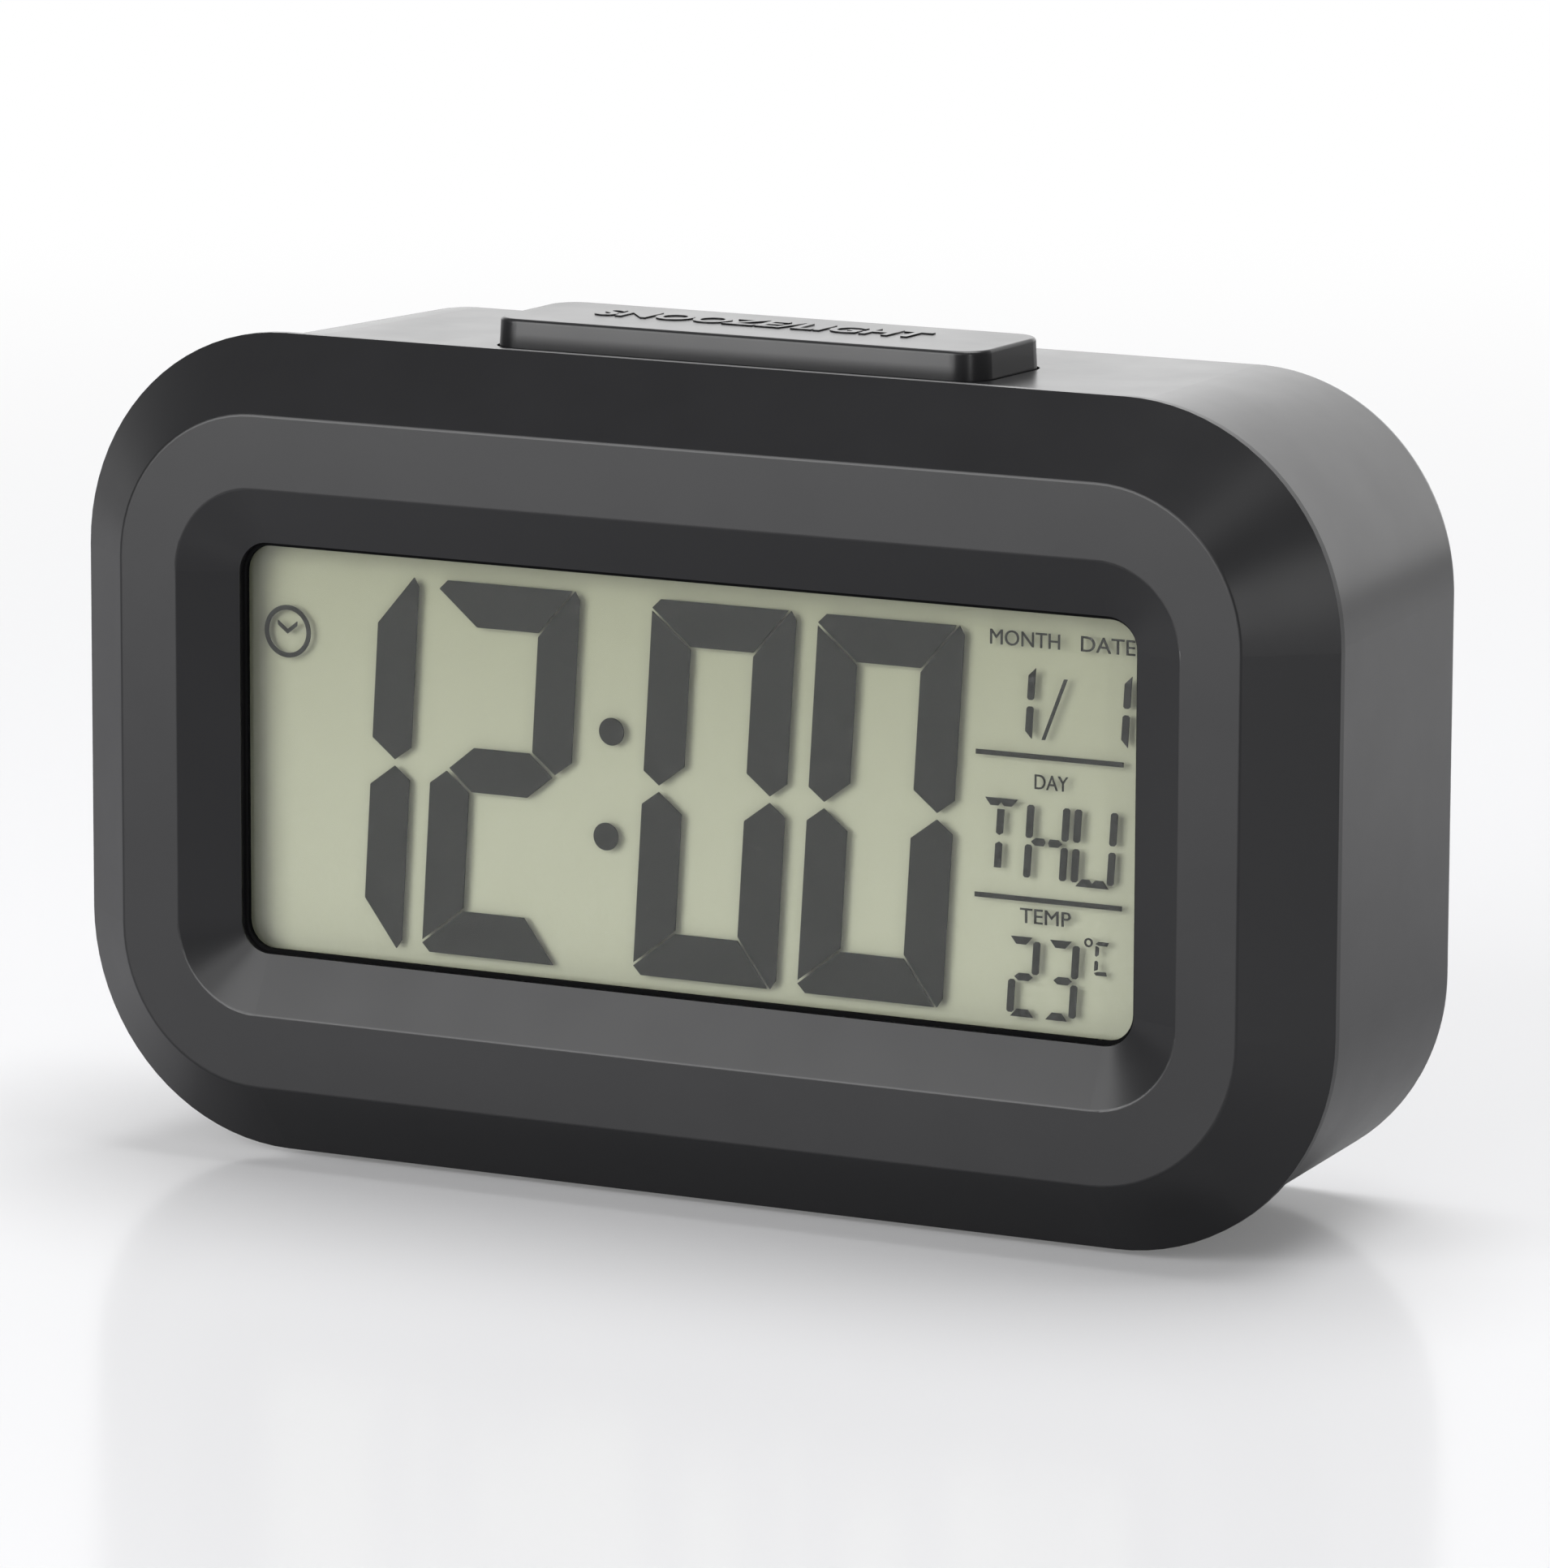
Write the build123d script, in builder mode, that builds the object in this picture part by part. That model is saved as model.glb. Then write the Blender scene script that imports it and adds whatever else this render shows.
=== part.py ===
"""Battery-powered digital alarm clock with a large LCD, a snooze bar on top and its controls on the back.

Millimetres, +Z up. The display faces -Y and +X is to the right of someone looking at it.
The origin is under the middle of the clock, on the surface that its feet stand on.
A "depth" is a distance behind the front ring, and heights in sketches start at the middle of the case.
"""
import os
from math import cos, hypot, pi, sin, sqrt

from build123d import *

os.makedirs("parts", exist_ok=True)

# Case
case_width = 130.0
case_height = 78.0
case_depth = 40.0
corner_radius = 21.5
wall = 2.0
foot_drop = 0.6

# Front bezel: chamfer, flat ring, slope into the window
chamfer_inset = 7.0
chamfer_depth = 6.0
bezel_band = 0.8
ring_side_width = 6.0
ring_top_width = 7.0
slope_inset = 5.4
slope_depth = 2.7
window_radius = 3.0
window_wall = 1.2
window_rim = 1.6
island_edge = 0.05
bezel_edge_round = 0.5
tongue_length = 2.0
tongue_thickness = 1.4
tongue_gap = 0.4

# Rear housing
housing_step = 0.8
side_taper = 2.9
top_taper = 0.4
rear_radius = 20.0
rear_edge_round = 1.2

# Case screws
boss_inset_side = 13.0
boss_inset_top = 11.0
boss_radius = 3.0
boss_end = 14.0
pilot_length = 8.5
thread_gap = 0.05
screw_length = 11.0
screw_radius = 1.3
screw_hole_radius = 1.6
screw_head_radius = 2.5
screw_head_height = 1.8
screw_well_radius = 2.9
screw_seat = 4.0
screw_well_wall = 1.5
cross_width = 0.7
cross_depth = 0.8

# Display stack
lens_lap = 1.4
lens_thickness = 1.0
lcd_margin_side = 2.4
lcd_margin_top = 3.4
glass_thickness = 0.7
cell_gap = 0.1
contact_ledge = 2.6
reflector_thickness = 0.3
light_guide_thickness = 2.5
holder_wall = 1.6
holder_back = 1.2
holder_gap = 0.2
holder_cutback = 9.0
zebra_width = 1.8
zebra_end_margin = 3.0
zebra_edge = 0.4
led_length = 3.0
led_width = 1.6
led_depth_margin = 0.3

# Numerals and signs on the liquid-crystal cell, drawn for a window of this size
drawn_window_width = 93.2
drawn_window_height = 39.2
digit_width = 14.9
digit_height = 35.4
digit_stroke = 4.2
digit_gap = 0.3
digit_lean = 0.058
segment_corner = 0.2
segment_tip = 0.4
segment_shoulder = 0.3
segment_inner_shoulder = 0.46
bar_bevel = 0.85
post_drop = 0.5
post_chamfer = 0.25
slanted_gap = 1.25
digit_middle = -0.6
hour_tens_x = -37.1
hour_units_x = -20.0
minute_tens_x = 2.5
minute_units_x = 19.65
colon_x = -8.5
colon_upper = 4.3
colon_lower = -5.6
colon_radius = 1.3
sign_x = -42.9
sign_z = 10.9
sign_radius = 2.5
sign_line = 0.45
sign_hand_reach = 0.42
sign_hand_rise = 0.32
small_stroke = 0.7
small_gap = 0.3
date_height = 6.5
date_width = 3.4
date_z = 10.6
month_x = 33.4
day_x = 43.0
slash_x = 37.0
slash_lean = 2.2
slash_height = 5.7
slash_line = 0.35
rule_x = 36.7
rule_length = 14.8
rule_line = 0.45
rule_upper = 5.75
rule_lower = -7.4
weekday_height = 7.4
weekday_width = 4.3
weekday_z = -2.05
weekday_pitch = 4.78
weekday_x = 31.73
temperature_height = 7.4
temperature_width = 3.0
temperature_z = -14.6
temperature_x = 34.3
temperature_pitch = 3.95
unit_height = 3.1
unit_width = 1.5
unit_x = 42.2
unit_z = -12.2
unit_stroke = 0.35
degree_x = 40.8
degree_z = -10.8
degree_radius = 0.42

# Main board behind the display
board_thickness = 1.6
board_corner = 2.0
board_margin_side = 8.0
holder_screw_out = 4.6
holder_screw_height = 12.0
holder_screw_radius = 1.0
holder_screw_length = 8.0
holder_pilot_length = 5.0
holder_screw_head_radius = 2.0
holder_screw_head_height = 1.4
holder_screw_hole = 1.2
holder_post_radius = 2.4
holder_ear_radius = 3.2
holder_ear_thickness = 2.0
blob_radius = 8.0
blob_height = 1.8
blob_round = 1.4
blob_x = -8.0
blob_z = 4.0
crystal_radius = 1.0
crystal_length = 6.2
crystal_x = 10.0
crystal_z = 9.0
capacitor_radius = 2.5
capacitor_height = 5.0
capacitor_x = 24.0
capacitor_pitch = 9.0
capacitor_z = -12.0
bead_radius = 1.3
bead_standoff = 4.0
bead_lead_radius = 0.3
bead_lead_pitch = 1.4
bead_inset = 11.0
bead_z = -2.0

# Snooze bar, its board and its switch
bar_width = 51.0
bar_depth = 14.5
bar_corner = 3.0
bar_height = 2.65
bar_wall = 1.5
bar_edge_round = 0.35
bar_draft = 3.0
bar_travel = 0.8
bar_gap = 0.25
bar_flange = 1.8
bar_flange_thickness = 1.2
bar_frame_margin = 3.0
bar_frame_drop = 1.2
bar_rest_gap = 0.2
plunger_radius = 2.5
snooze_board_width = 68.0
snooze_board_depth = 10.0
snooze_post_inset = 3.0
snooze_board_drop = 5.0

# Push switches on the boards
switch_size = 6.0
switch_height = 3.5
stem_radius = 1.75
stem_gap = 0.1
stem_length = 2.6
stem_floor = 0.3
press_room = 0.2

# Controls on the back
panel_width = 76.0
panel_height = 14.0
panel_recess = 1.2
panel_corner = 3.0
panel_low_share = 0.25
button_width = 9.5
button_height = 5.5
button_gap = 0.2
button_rise = 1.0
button_flange = 1.0
button_flange_thickness = 1.4
button_rest_gap = 0.2
button_edge_round = 0.4
button_travel = 0.6
button_pitch = 14.0
first_button_x = -28.0
slider_x = 29.0
slider_travel = 3.0
slider_shaft_width = 2.0
slider_shaft_height = 1.8
slider_head_width = 4.4
slider_head_height = 3.6
slider_head_thickness = 0.9
slider_float = 0.1
slider_gap = 0.2
slider_grip_line = 0.4
slider_grip_pitch = 1.2
slider_grip_count = 3
slider_body_width = 9.0
slider_body_height = 4.6
slider_reach = 1.2
button_board_width = 82.0
button_board_height = 18.0
board_post_radius = 2.2
board_post_inset = 2.8
board_well_gap = 0.5
board_screw_radius = 0.9
board_screw_length = 5.5
board_screw_head_radius = 1.8
board_screw_head_height = 1.2
board_hole_radius = 1.1

# Battery compartment
battery_radius = 5.25
battery_length = 44.5
battery_nub_radius = 1.9
battery_nub_length = 1.0
battery_pitch = 10.8
battery_room = 0.2
battery_edge_round = 0.5
contact_thickness = 0.4
contact_width = 8.0
contact_seat = 0.05
tab_width = 3.0
tab_reach = 1.5
tab_gap = 0.2
spring_room = 5.2
spring_radius = 2.6
wire_radius = 0.3
spring_turns = 4
door_width = 57.0
door_height = 37.5
door_corner = 3.0
door_thickness = 1.6
door_gap = 0.25
door_seat_gap = 0.1
door_edge_round = 0.3
door_low_share = 0.29
thumb_radius = 6.0
thumb_depth = 0.7
thumb_inset = 7.5
grip_count = 3
grip_pitch = 2.0
grip_line = 0.8
grip_length = 14.0
grip_depth = 0.5
compartment_floor = 1.6
compartment_wall = 1.2

# Buzzer, vents and feet
buzzer_radius = 10.0
buzzer_thickness = 0.3
ceramic_radius = 7.0
ceramic_thickness = 0.25
buzzer_seat_width = 1.4
buzzer_seat_height = 2.0
buzzer_z = -2.0
sound_hole_radius = 0.9
sound_ring_radius = 4.5
sound_hole_count = 6
vent_count = 5
vent_pitch = 3.2
vent_length = 12.0
vent_width = 1.4
foot_radius = 4.0
foot_pocket_gap = 0.2
foot_pocket_depth = 0.7
foot_inset = 28.0
front_foot_depth = 13.0
rear_foot_depth = 34.0
foot_edge_round = 0.5

# Leads inside the case
lead_radius = 0.6
lead_bend = 2.0
lead_pitch = 3.0
lead_slack = 5.0
snooze_lead_count = 2
button_lead_count = 3
button_lead_x = 3.0
button_lead_z = 10.0
snooze_lead_x = 22.0
snooze_lead_drop = 9.0

# Places that follow from the sizes above
center_z = foot_drop + case_height / 2
bezel_depth = chamfer_depth + bezel_band
window_inset_side = chamfer_inset + ring_side_width + slope_inset
window_inset_top = chamfer_inset + ring_top_width + slope_inset
window_width = case_width - 2 * window_inset_side
window_height = case_height - 2 * window_inset_top
art_x = window_width / drawn_window_width
art_z = window_height / drawn_window_height
art_line = min(art_x, art_z)
lens_front = slope_depth + window_wall
lens_width = window_width + 2 * lens_lap
lens_height = window_height + 2 * lens_lap
lcd_front = lens_front + lens_thickness
segment_front = lcd_front + glass_thickness
rear_glass_front = segment_front + cell_gap
reflector_front = rear_glass_front + glass_thickness
guide_front = reflector_front + reflector_thickness
guide_back = guide_front + light_guide_thickness
board_front = guide_back + holder_back
board_back = board_front + board_thickness
lcd_width = window_width + 2 * lcd_margin_side
lcd_height = window_height + 2 * lcd_margin_top
rear_glass_height = lcd_height - contact_ledge
rear_glass_z = contact_ledge / 2
board_width = lcd_width + 2 * board_margin_side
bead_x = bead_inset - board_width / 2
boss_x = case_width / 2 - boss_inset_side
boss_z = case_height / 2 - boss_inset_top
boss_places = [(x, z) for x in (-boss_x, boss_x) for z in (-boss_z, boss_z)]
holder_screw_x = lcd_width / 2 + holder_screw_out
holder_screw_places = [
    (x, z) for x in (-holder_screw_x, holder_screw_x) for z in (-holder_screw_height, holder_screw_height)
]
rear_wall = case_depth - wall
housing_half_height = case_height / 2 - housing_step
inner_top = housing_half_height - wall


def face_plane(depth):
    """Upright plane at a depth: sketches are seen from the front, and positive amounts come forward."""
    return Plane(origin=(0, depth - case_depth / 2, center_z), x_dir=(1, 0, 0), z_dir=(0, -1, 0))


def level_plane(height):
    """Level plane at a height over the middle of the case, centred between front and back."""
    return Plane(origin=(0, 0, center_z + height), x_dir=(1, 0, 0), z_dir=(0, 0, 1))


def housing_size(depth, inset):
    """Width, height and corner radius of the rear housing's outline at a depth, moved in by inset."""
    share = (depth - bezel_depth) / (case_depth - bezel_depth)
    width = case_width - 2 * (housing_step + side_taper * share + inset)
    height = case_height - 2 * (housing_step + top_taper * share + inset)
    front_radius = corner_radius - housing_step
    radius = front_radius + (rear_radius - front_radius) * share - inset
    return width, height, radius


# Front bezel
rim_inset = housing_step + wall + tongue_gap
chamfer_length = hypot(chamfer_inset, chamfer_depth)
hollow_start = wall * chamfer_length / chamfer_depth
hollow_top = hollow_start + chamfer_inset * (chamfer_depth - wall) / chamfer_depth
hollow_chamfer = hollow_top - rim_inset
hollow_fall = hollow_chamfer * chamfer_depth / chamfer_inset
slope_length = hypot(slope_inset, slope_depth)
island_margin = slope_inset + (wall * slope_length / slope_inset - wall) * slope_inset / slope_depth
island_chamfer = island_margin - window_rim
island_fall = lens_front - wall

with BuildPart() as bezel_hollow:
    with BuildSketch(face_plane(bezel_depth)):
        RectangleRounded(case_width - 2 * rim_inset, case_height - 2 * rim_inset, corner_radius - rim_inset)
    extrude(amount=bezel_depth - wall)
    hollow_face = bezel_hollow.faces().sort_by(Axis.Y)[0]
    chamfer(hollow_face.edges(), length=hollow_chamfer, length2=hollow_fall, reference=hollow_face)

with BuildPart() as window_island:
    with BuildSketch(face_plane(wall)):
        RectangleRounded(
            window_width + 2 * island_margin,
            window_height + 2 * island_margin,
            window_radius + island_margin,
        )
    extrude(amount=-island_fall)
    island_face = window_island.faces().sort_by(Axis.Y)[-1]
    island_drop = island_fall - island_edge
    chamfer(island_face.edges(), length=island_chamfer, length2=island_drop, reference=island_face)

with BuildPart() as front_bezel:
    with BuildSketch(face_plane(bezel_depth)):
        RectangleRounded(case_width, case_height, corner_radius)
    extrude(amount=bezel_depth)
    ring_face = front_bezel.faces().sort_by(Axis.Y)[0]
    chamfer(ring_face.edges(), length=chamfer_inset, length2=chamfer_depth, reference=ring_face)
    add(bezel_hollow.part, mode=Mode.SUBTRACT)
    add(window_island.part)
    with BuildSketch(face_plane(0)):
        RectangleRounded(window_width, window_height, window_radius)
    extrude(amount=-bezel_depth, mode=Mode.SUBTRACT)
    ring_face = front_bezel.faces().sort_by(Axis.Y)[0]
    window_edges = ring_face.inner_wires()[0].edges()
    chamfer(window_edges, length=slope_inset, length2=slope_depth, reference=ring_face)
    ring_face = front_bezel.faces().sort_by(Axis.Y)[0]
    fillet(ring_face.edges(), radius=bezel_edge_round)
    with BuildSketch(face_plane(bezel_depth + tongue_length)):
        RectangleRounded(case_width - 2 * rim_inset, case_height - 2 * rim_inset, corner_radius - rim_inset)
        tongue_inset = rim_inset + tongue_thickness
        RectangleRounded(
            case_width - 2 * tongue_inset,
            case_height - 2 * tongue_inset,
            corner_radius - tongue_inset,
            mode=Mode.SUBTRACT,
        )
    extrude(amount=tongue_length + bezel_band)
    with BuildSketch(face_plane(boss_end)):
        with Locations(*boss_places):
            Circle(boss_radius)
    extrude(amount=boss_end - wall)
    with BuildSketch(face_plane(board_front - holder_ear_thickness)):
        with Locations(*holder_screw_places):
            Circle(holder_post_radius)
    extrude(amount=board_front - holder_ear_thickness - wall)
    with BuildSketch(face_plane(boss_end)):
        with Locations(*boss_places):
            Circle(screw_radius + thread_gap)
    extrude(amount=pilot_length, mode=Mode.SUBTRACT)
    with BuildSketch(face_plane(board_front - holder_ear_thickness)):
        with Locations(*holder_screw_places):
            Circle(holder_screw_radius + thread_gap)
    extrude(amount=holder_pilot_length, mode=Mode.SUBTRACT)
front_bezel.part.label = "front_bezel"
export_step(front_bezel.part, "parts/front_bezel.step")

# Clear lens, glued to the rim behind the window
with BuildPart() as display_lens:
    with BuildSketch(face_plane(lens_front)):
        RectangleRounded(lens_width, lens_height, window_radius + lens_lap)
    extrude(amount=-lens_thickness)
display_lens.part.label = "display_lens"
export_step(display_lens.part, "parts/display_lens.step")

# Liquid-crystal cell: two glass plates, with the numerals between them
with BuildPart() as lcd_front_glass:
    with BuildSketch(face_plane(lcd_front)):
        Rectangle(lcd_width, lcd_height)
    extrude(amount=-glass_thickness)
lcd_front_glass.part.label = "lcd_front_glass"
export_step(lcd_front_glass.part, "parts/lcd_front_glass.step")

with BuildPart() as lcd_rear_glass:
    with BuildSketch(face_plane(rear_glass_front)):
        with Locations((0, rear_glass_z)):
            Rectangle(lcd_width, rear_glass_height)
    extrude(amount=-glass_thickness)
lcd_rear_glass.part.label = "lcd_rear_glass"
export_step(lcd_rear_glass.part, "parts/lcd_rear_glass.step")


def tapered_bar(left, right, top, stroke):
    """Corner points of a bar that hangs from its top edge and narrows downwards."""
    bevel = bar_bevel * stroke
    return [(left, top), (right, top), (right - bevel, top - stroke), (left + bevel, top - stroke)]


def segment_outlines(width, height, stroke, gap):
    """Corner points of each segment of one character, about the character's middle.

    Letters a to g name the segments clockwise from the top, with g across the middle and g1 and g2 its two
    halves, and i and l are the upper and lower strokes in the middle. The small characters have blunt side
    strokes, p to s, tapered bars, a3, d3 and d4, and notched bars, a1 and d1. Only k and m have a long tip.
    Corners, tips and shoulders are shares of the stroke.
    """
    half = width / 2
    top = height / 2
    corner = max(segment_corner * stroke, slanted_gap * gap)
    tip = segment_tip * stroke
    outer_shoulder = gap + segment_shoulder * stroke
    inner_shoulder = gap + segment_inner_shoulder * stroke
    inner = half - stroke
    blunt = post_chamfer * stroke
    post_top = top - post_drop * stroke
    bevel = bar_bevel * stroke
    reach = inner + 2 * gap / 3
    post = [(-half, gap + blunt), (-half, post_top - blunt), (blunt - half, post_top),
            (-inner - blunt, post_top), (-inner, post_top - blunt), (-inner, gap + blunt),
            (-inner - blunt, gap), (blunt - half, gap)]
    upper = {
        "a": [(-half, top - corner), (corner - half, top), (half - corner, top), (inner, top - stroke),
              (-inner, top - stroke)],
        "b": [(half - corner + gap, top), (half, top - corner), (half, outer_shoulder), (half - tip, gap),
              (inner, inner_shoulder), (inner, top - stroke - slanted_gap * gap)],
        "f": [(-half, top - corner - gap), (-inner, top - stroke - gap), (-inner, inner_shoulder),
              (tip - half, gap), (-half, outer_shoulder)],
        "k": [(half, gap + blunt), (half, top), (inner, top - stroke), (inner, gap + blunt),
              (inner + blunt, gap), (half - blunt, gap)],
        "a1": [(-reach, top), (reach, top), (reach - bevel, top - stroke), (gap, top - stroke),
               (0, top - stroke / 2), (-gap, top - stroke), (bevel - reach, top - stroke)],
        "a3": tapered_bar(-half, inner - gap / 2, top, stroke),
        "a4": tapered_bar(-inner - gap, half - gap, top, stroke),
        "p": post,
        "q": [(-x, z) for x, z in reversed(post)],
        "i": [(-stroke / 2, top - stroke - gap), (stroke / 2, top - stroke - gap),
              (stroke / 2, outer_shoulder), (0, gap), (-stroke / 2, outer_shoulder)],
    }
    lower_names = {"a": "d", "b": "c", "f": "e", "a1": "d1", "k": "m", "a3": "d3", "a4": "d4",
                   "i": "l", "p": "r", "q": "s"}
    outlines = dict(upper)
    for name, points in upper.items():
        outlines[lower_names[name]] = [(x, -z) for x, z in reversed(points)]
    bar_left = -half + tip + gap
    bar_inner = -inner + gap
    outlines["g"] = [(bar_left, 0), (bar_inner, stroke / 2), (-bar_inner, stroke / 2), (-bar_left, 0),
                     (-bar_inner, -stroke / 2), (bar_inner, -stroke / 2)]
    outlines["g1"] = [(bar_left, 0), (bar_inner, stroke / 2), (-gap, stroke / 2), (-gap / 2, 0),
                      (-gap, -stroke / 2), (bar_inner, -stroke / 2)]
    outlines["g2"] = [(-x, z) for x, z in reversed(outlines["g1"])]
    return outlines


def on_display(x, z):
    """Place on the display of a point of the drawing, which is stretched to the window."""
    return x * art_x, z * art_z


figures = {
    "0": ["a", "b", "c", "d", "e", "f"],
    "1": ["b", "c"],
    "2": ["a", "b", "g", "e", "d"],
    "C": ["a", "f", "e", "d"],
    "T": ["a1", "i", "l"],
    "H": ["p", "r", "g1", "g2", "q", "s"],
    "U": ["p", "r", "d1", "q", "s"],
    "small 1": ["k", "m"],
    "small 2": ["a3", "q", "g", "r", "d4"],
    "small 3": ["a3", "q", "g", "s", "d3"],
}
big = (digit_width, digit_height, digit_stroke, digit_gap)
date_size = (date_width, date_height, small_stroke, small_gap)
weekday_size = (weekday_width, weekday_height, small_stroke, small_gap)
temperature_size = (temperature_width, temperature_height, small_stroke, small_gap)
unit_size = (unit_width, unit_height, unit_stroke, unit_stroke / 2)
characters = [
    ("1", hour_tens_x, digit_middle, big),
    ("2", hour_units_x, digit_middle, big),
    ("0", minute_tens_x, digit_middle, big),
    ("0", minute_units_x, digit_middle, big),
    ("small 1", month_x, date_z, date_size),
    ("small 1", day_x, date_z, date_size),
    ("T", weekday_x, weekday_z, weekday_size),
    ("H", weekday_x + weekday_pitch, weekday_z, weekday_size),
    ("U", weekday_x + 2 * weekday_pitch, weekday_z, weekday_size),
    ("small 2", temperature_x, temperature_z, temperature_size),
    ("small 3", temperature_x + temperature_pitch, temperature_z, temperature_size),
    ("C", unit_x, unit_z, unit_size),
]

with BuildPart() as lcd_segments:
    with BuildSketch(face_plane(segment_front)):
        for figure, middle_x, middle_z, size in characters:
            outlines = segment_outlines(*size)
            for name in figures[figure]:
                points = [on_display(middle_x + x + digit_lean * z, middle_z + z) for x, z in outlines[name]]
                with BuildLine():
                    Polyline(*points, close=True)
                make_face()
        with Locations(on_display(colon_x + digit_lean * colon_upper, colon_upper),
                       on_display(colon_x + digit_lean * colon_lower, colon_lower)):
            Circle(colon_radius * art_line)
        with Locations(on_display(rule_x, rule_upper), on_display(rule_x, rule_lower)):
            Rectangle(rule_length * art_x, rule_line * art_line)
        with BuildLine():
            slash_bottom = date_z - date_height / 2
            slash_top = slash_bottom + slash_height
            slash_left = slash_x - slash_lean / 2
            slash_right = slash_x + slash_lean / 2
            Polyline(
                on_display(slash_left, slash_bottom),
                on_display(slash_left + slash_line, slash_bottom),
                on_display(slash_right + slash_line, slash_top),
                on_display(slash_right, slash_top),
                close=True,
            )
        make_face()
        with Locations(on_display(degree_x, degree_z)):
            Circle(degree_radius * art_line)
            Circle((degree_radius - unit_stroke / 2) * art_line, mode=Mode.SUBTRACT)
        with Locations(on_display(sign_x, sign_z)):
            Circle(sign_radius * art_line)
            Circle((sign_radius - sign_line) * art_line, mode=Mode.SUBTRACT)
        hand_reach = sign_hand_reach * sign_radius
        hand_rise = sign_hand_rise * sign_radius
        hand_half = sign_line / 2
        with BuildLine():
            Polyline(
                on_display(sign_x - hand_reach, sign_z + hand_rise + hand_half),
                on_display(sign_x, sign_z + hand_half),
                on_display(sign_x + hand_reach, sign_z + hand_rise + hand_half),
                on_display(sign_x + hand_reach, sign_z + hand_rise - hand_half),
                on_display(sign_x, sign_z - hand_half),
                on_display(sign_x - hand_reach, sign_z + hand_rise - hand_half),
                close=True,
            )
        make_face()
    extrude(amount=-cell_gap)
lcd_segments.part.label = "lcd_segments"
export_step(lcd_segments.part, "parts/lcd_segments.step")

# Grey-green film behind the cell, and the acrylic light guide with its lamp
with BuildPart() as lcd_reflector:
    with BuildSketch(face_plane(reflector_front)):
        with Locations((0, rear_glass_z)):
            Rectangle(lcd_width, rear_glass_height)
    extrude(amount=-reflector_thickness)
lcd_reflector.part.label = "lcd_reflector"
export_step(lcd_reflector.part, "parts/lcd_reflector.step")

with BuildPart() as light_guide:
    with BuildSketch(face_plane(guide_front)):
        with Locations((0, rear_glass_z)):
            Rectangle(lcd_width, rear_glass_height)
    extrude(amount=-light_guide_thickness)
light_guide.part.label = "light_guide"
export_step(light_guide.part, "parts/light_guide.step")

led_x = -lcd_width / 2 - led_width / 2
led_front = guide_front + led_depth_margin
with BuildPart() as backlight_led:
    with BuildSketch(face_plane(led_front)):
        with Locations((led_x, 0)):
            Rectangle(led_width, led_length)
    extrude(amount=-(board_front - led_front))
backlight_led.part.label = "backlight_led"
export_step(backlight_led.part, "parts/backlight_led.step")

# Holder that clamps the cell and the light guide to the bezel
zebra_z = -lcd_height / 2 + zebra_edge + zebra_width / 2
zebra_length = lcd_width - 2 * zebra_end_margin
pocket_width = lcd_width + 2 * holder_gap
pocket_height = lcd_height + 2 * holder_gap
with BuildPart() as lcd_holder:
    with BuildSketch(face_plane(board_front)):
        Rectangle(pocket_width + 2 * holder_wall, pocket_height + 2 * holder_wall)
    extrude(amount=board_front - rear_glass_front)
    with BuildSketch(face_plane(board_front)):
        with Locations(*holder_screw_places):
            Circle(holder_ear_radius)
        for side in (-1, 1):
            with Locations(*[(side * (lcd_width / 2 + holder_screw_out / 2), z)
                             for z in (-holder_screw_height, holder_screw_height)]):
                Rectangle(holder_screw_out, 2 * holder_ear_radius)
    extrude(amount=holder_ear_thickness)
    with BuildSketch(face_plane(guide_back)):
        Rectangle(pocket_width, pocket_height)
    extrude(amount=guide_back, mode=Mode.SUBTRACT)
    with BuildSketch(face_plane(board_front)):
        with Locations((0, rear_glass_z)):
            Rectangle(lcd_width - 2 * holder_cutback, rear_glass_height - 2 * holder_cutback)
        with Locations((0, zebra_z)):
            Rectangle(zebra_length + 2 * holder_gap, zebra_width + 2 * holder_gap)
        with Locations((led_x, 0)):
            Rectangle(led_width + 2 * holder_gap, led_length + 2 * holder_gap)
        with Locations(*holder_screw_places):
            Circle(holder_screw_hole)
    extrude(amount=board_front, mode=Mode.SUBTRACT)
lcd_holder.part.label = "lcd_holder"
export_step(lcd_holder.part, "parts/lcd_holder.step")

# Striped rubber strip that joins the cell's contacts to the board
with BuildPart() as zebra_strip:
    with BuildSketch(face_plane(segment_front)):
        with Locations((0, zebra_z)):
            Rectangle(zebra_length, zebra_width)
    extrude(amount=-(board_front - segment_front))
zebra_strip.part.label = "zebra_strip"
export_step(zebra_strip.part, "parts/zebra_strip.step")

# Main board and what is soldered to it
with BuildPart() as main_board:
    with BuildSketch(face_plane(board_front)):
        RectangleRounded(board_width, lcd_height, board_corner)
        with Locations(*holder_screw_places):
            Circle(holder_screw_hole, mode=Mode.SUBTRACT)
    extrude(amount=-board_thickness)
main_board.part.label = "main_board"
export_step(main_board.part, "parts/main_board.step")

with BuildPart() as clock_chip:
    with BuildSketch(face_plane(board_back)):
        with Locations((blob_x, blob_z)):
            Circle(blob_radius)
    extrude(amount=-blob_height)
    fillet(clock_chip.faces().sort_by(Axis.Y)[-1].edges(), radius=blob_round)
clock_chip.part.label = "clock_chip"
export_step(clock_chip.part, "parts/clock_chip.step")

crystal_plane = Plane(
    origin=(crystal_x, board_back + crystal_radius - case_depth / 2, center_z + crystal_z), z_dir=(1, 0, 0)
)
with BuildPart() as crystal:
    with BuildSketch(crystal_plane):
        Circle(crystal_radius)
    extrude(amount=crystal_length)
crystal.part.label = "crystal"
export_step(crystal.part, "parts/crystal.step")

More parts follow.
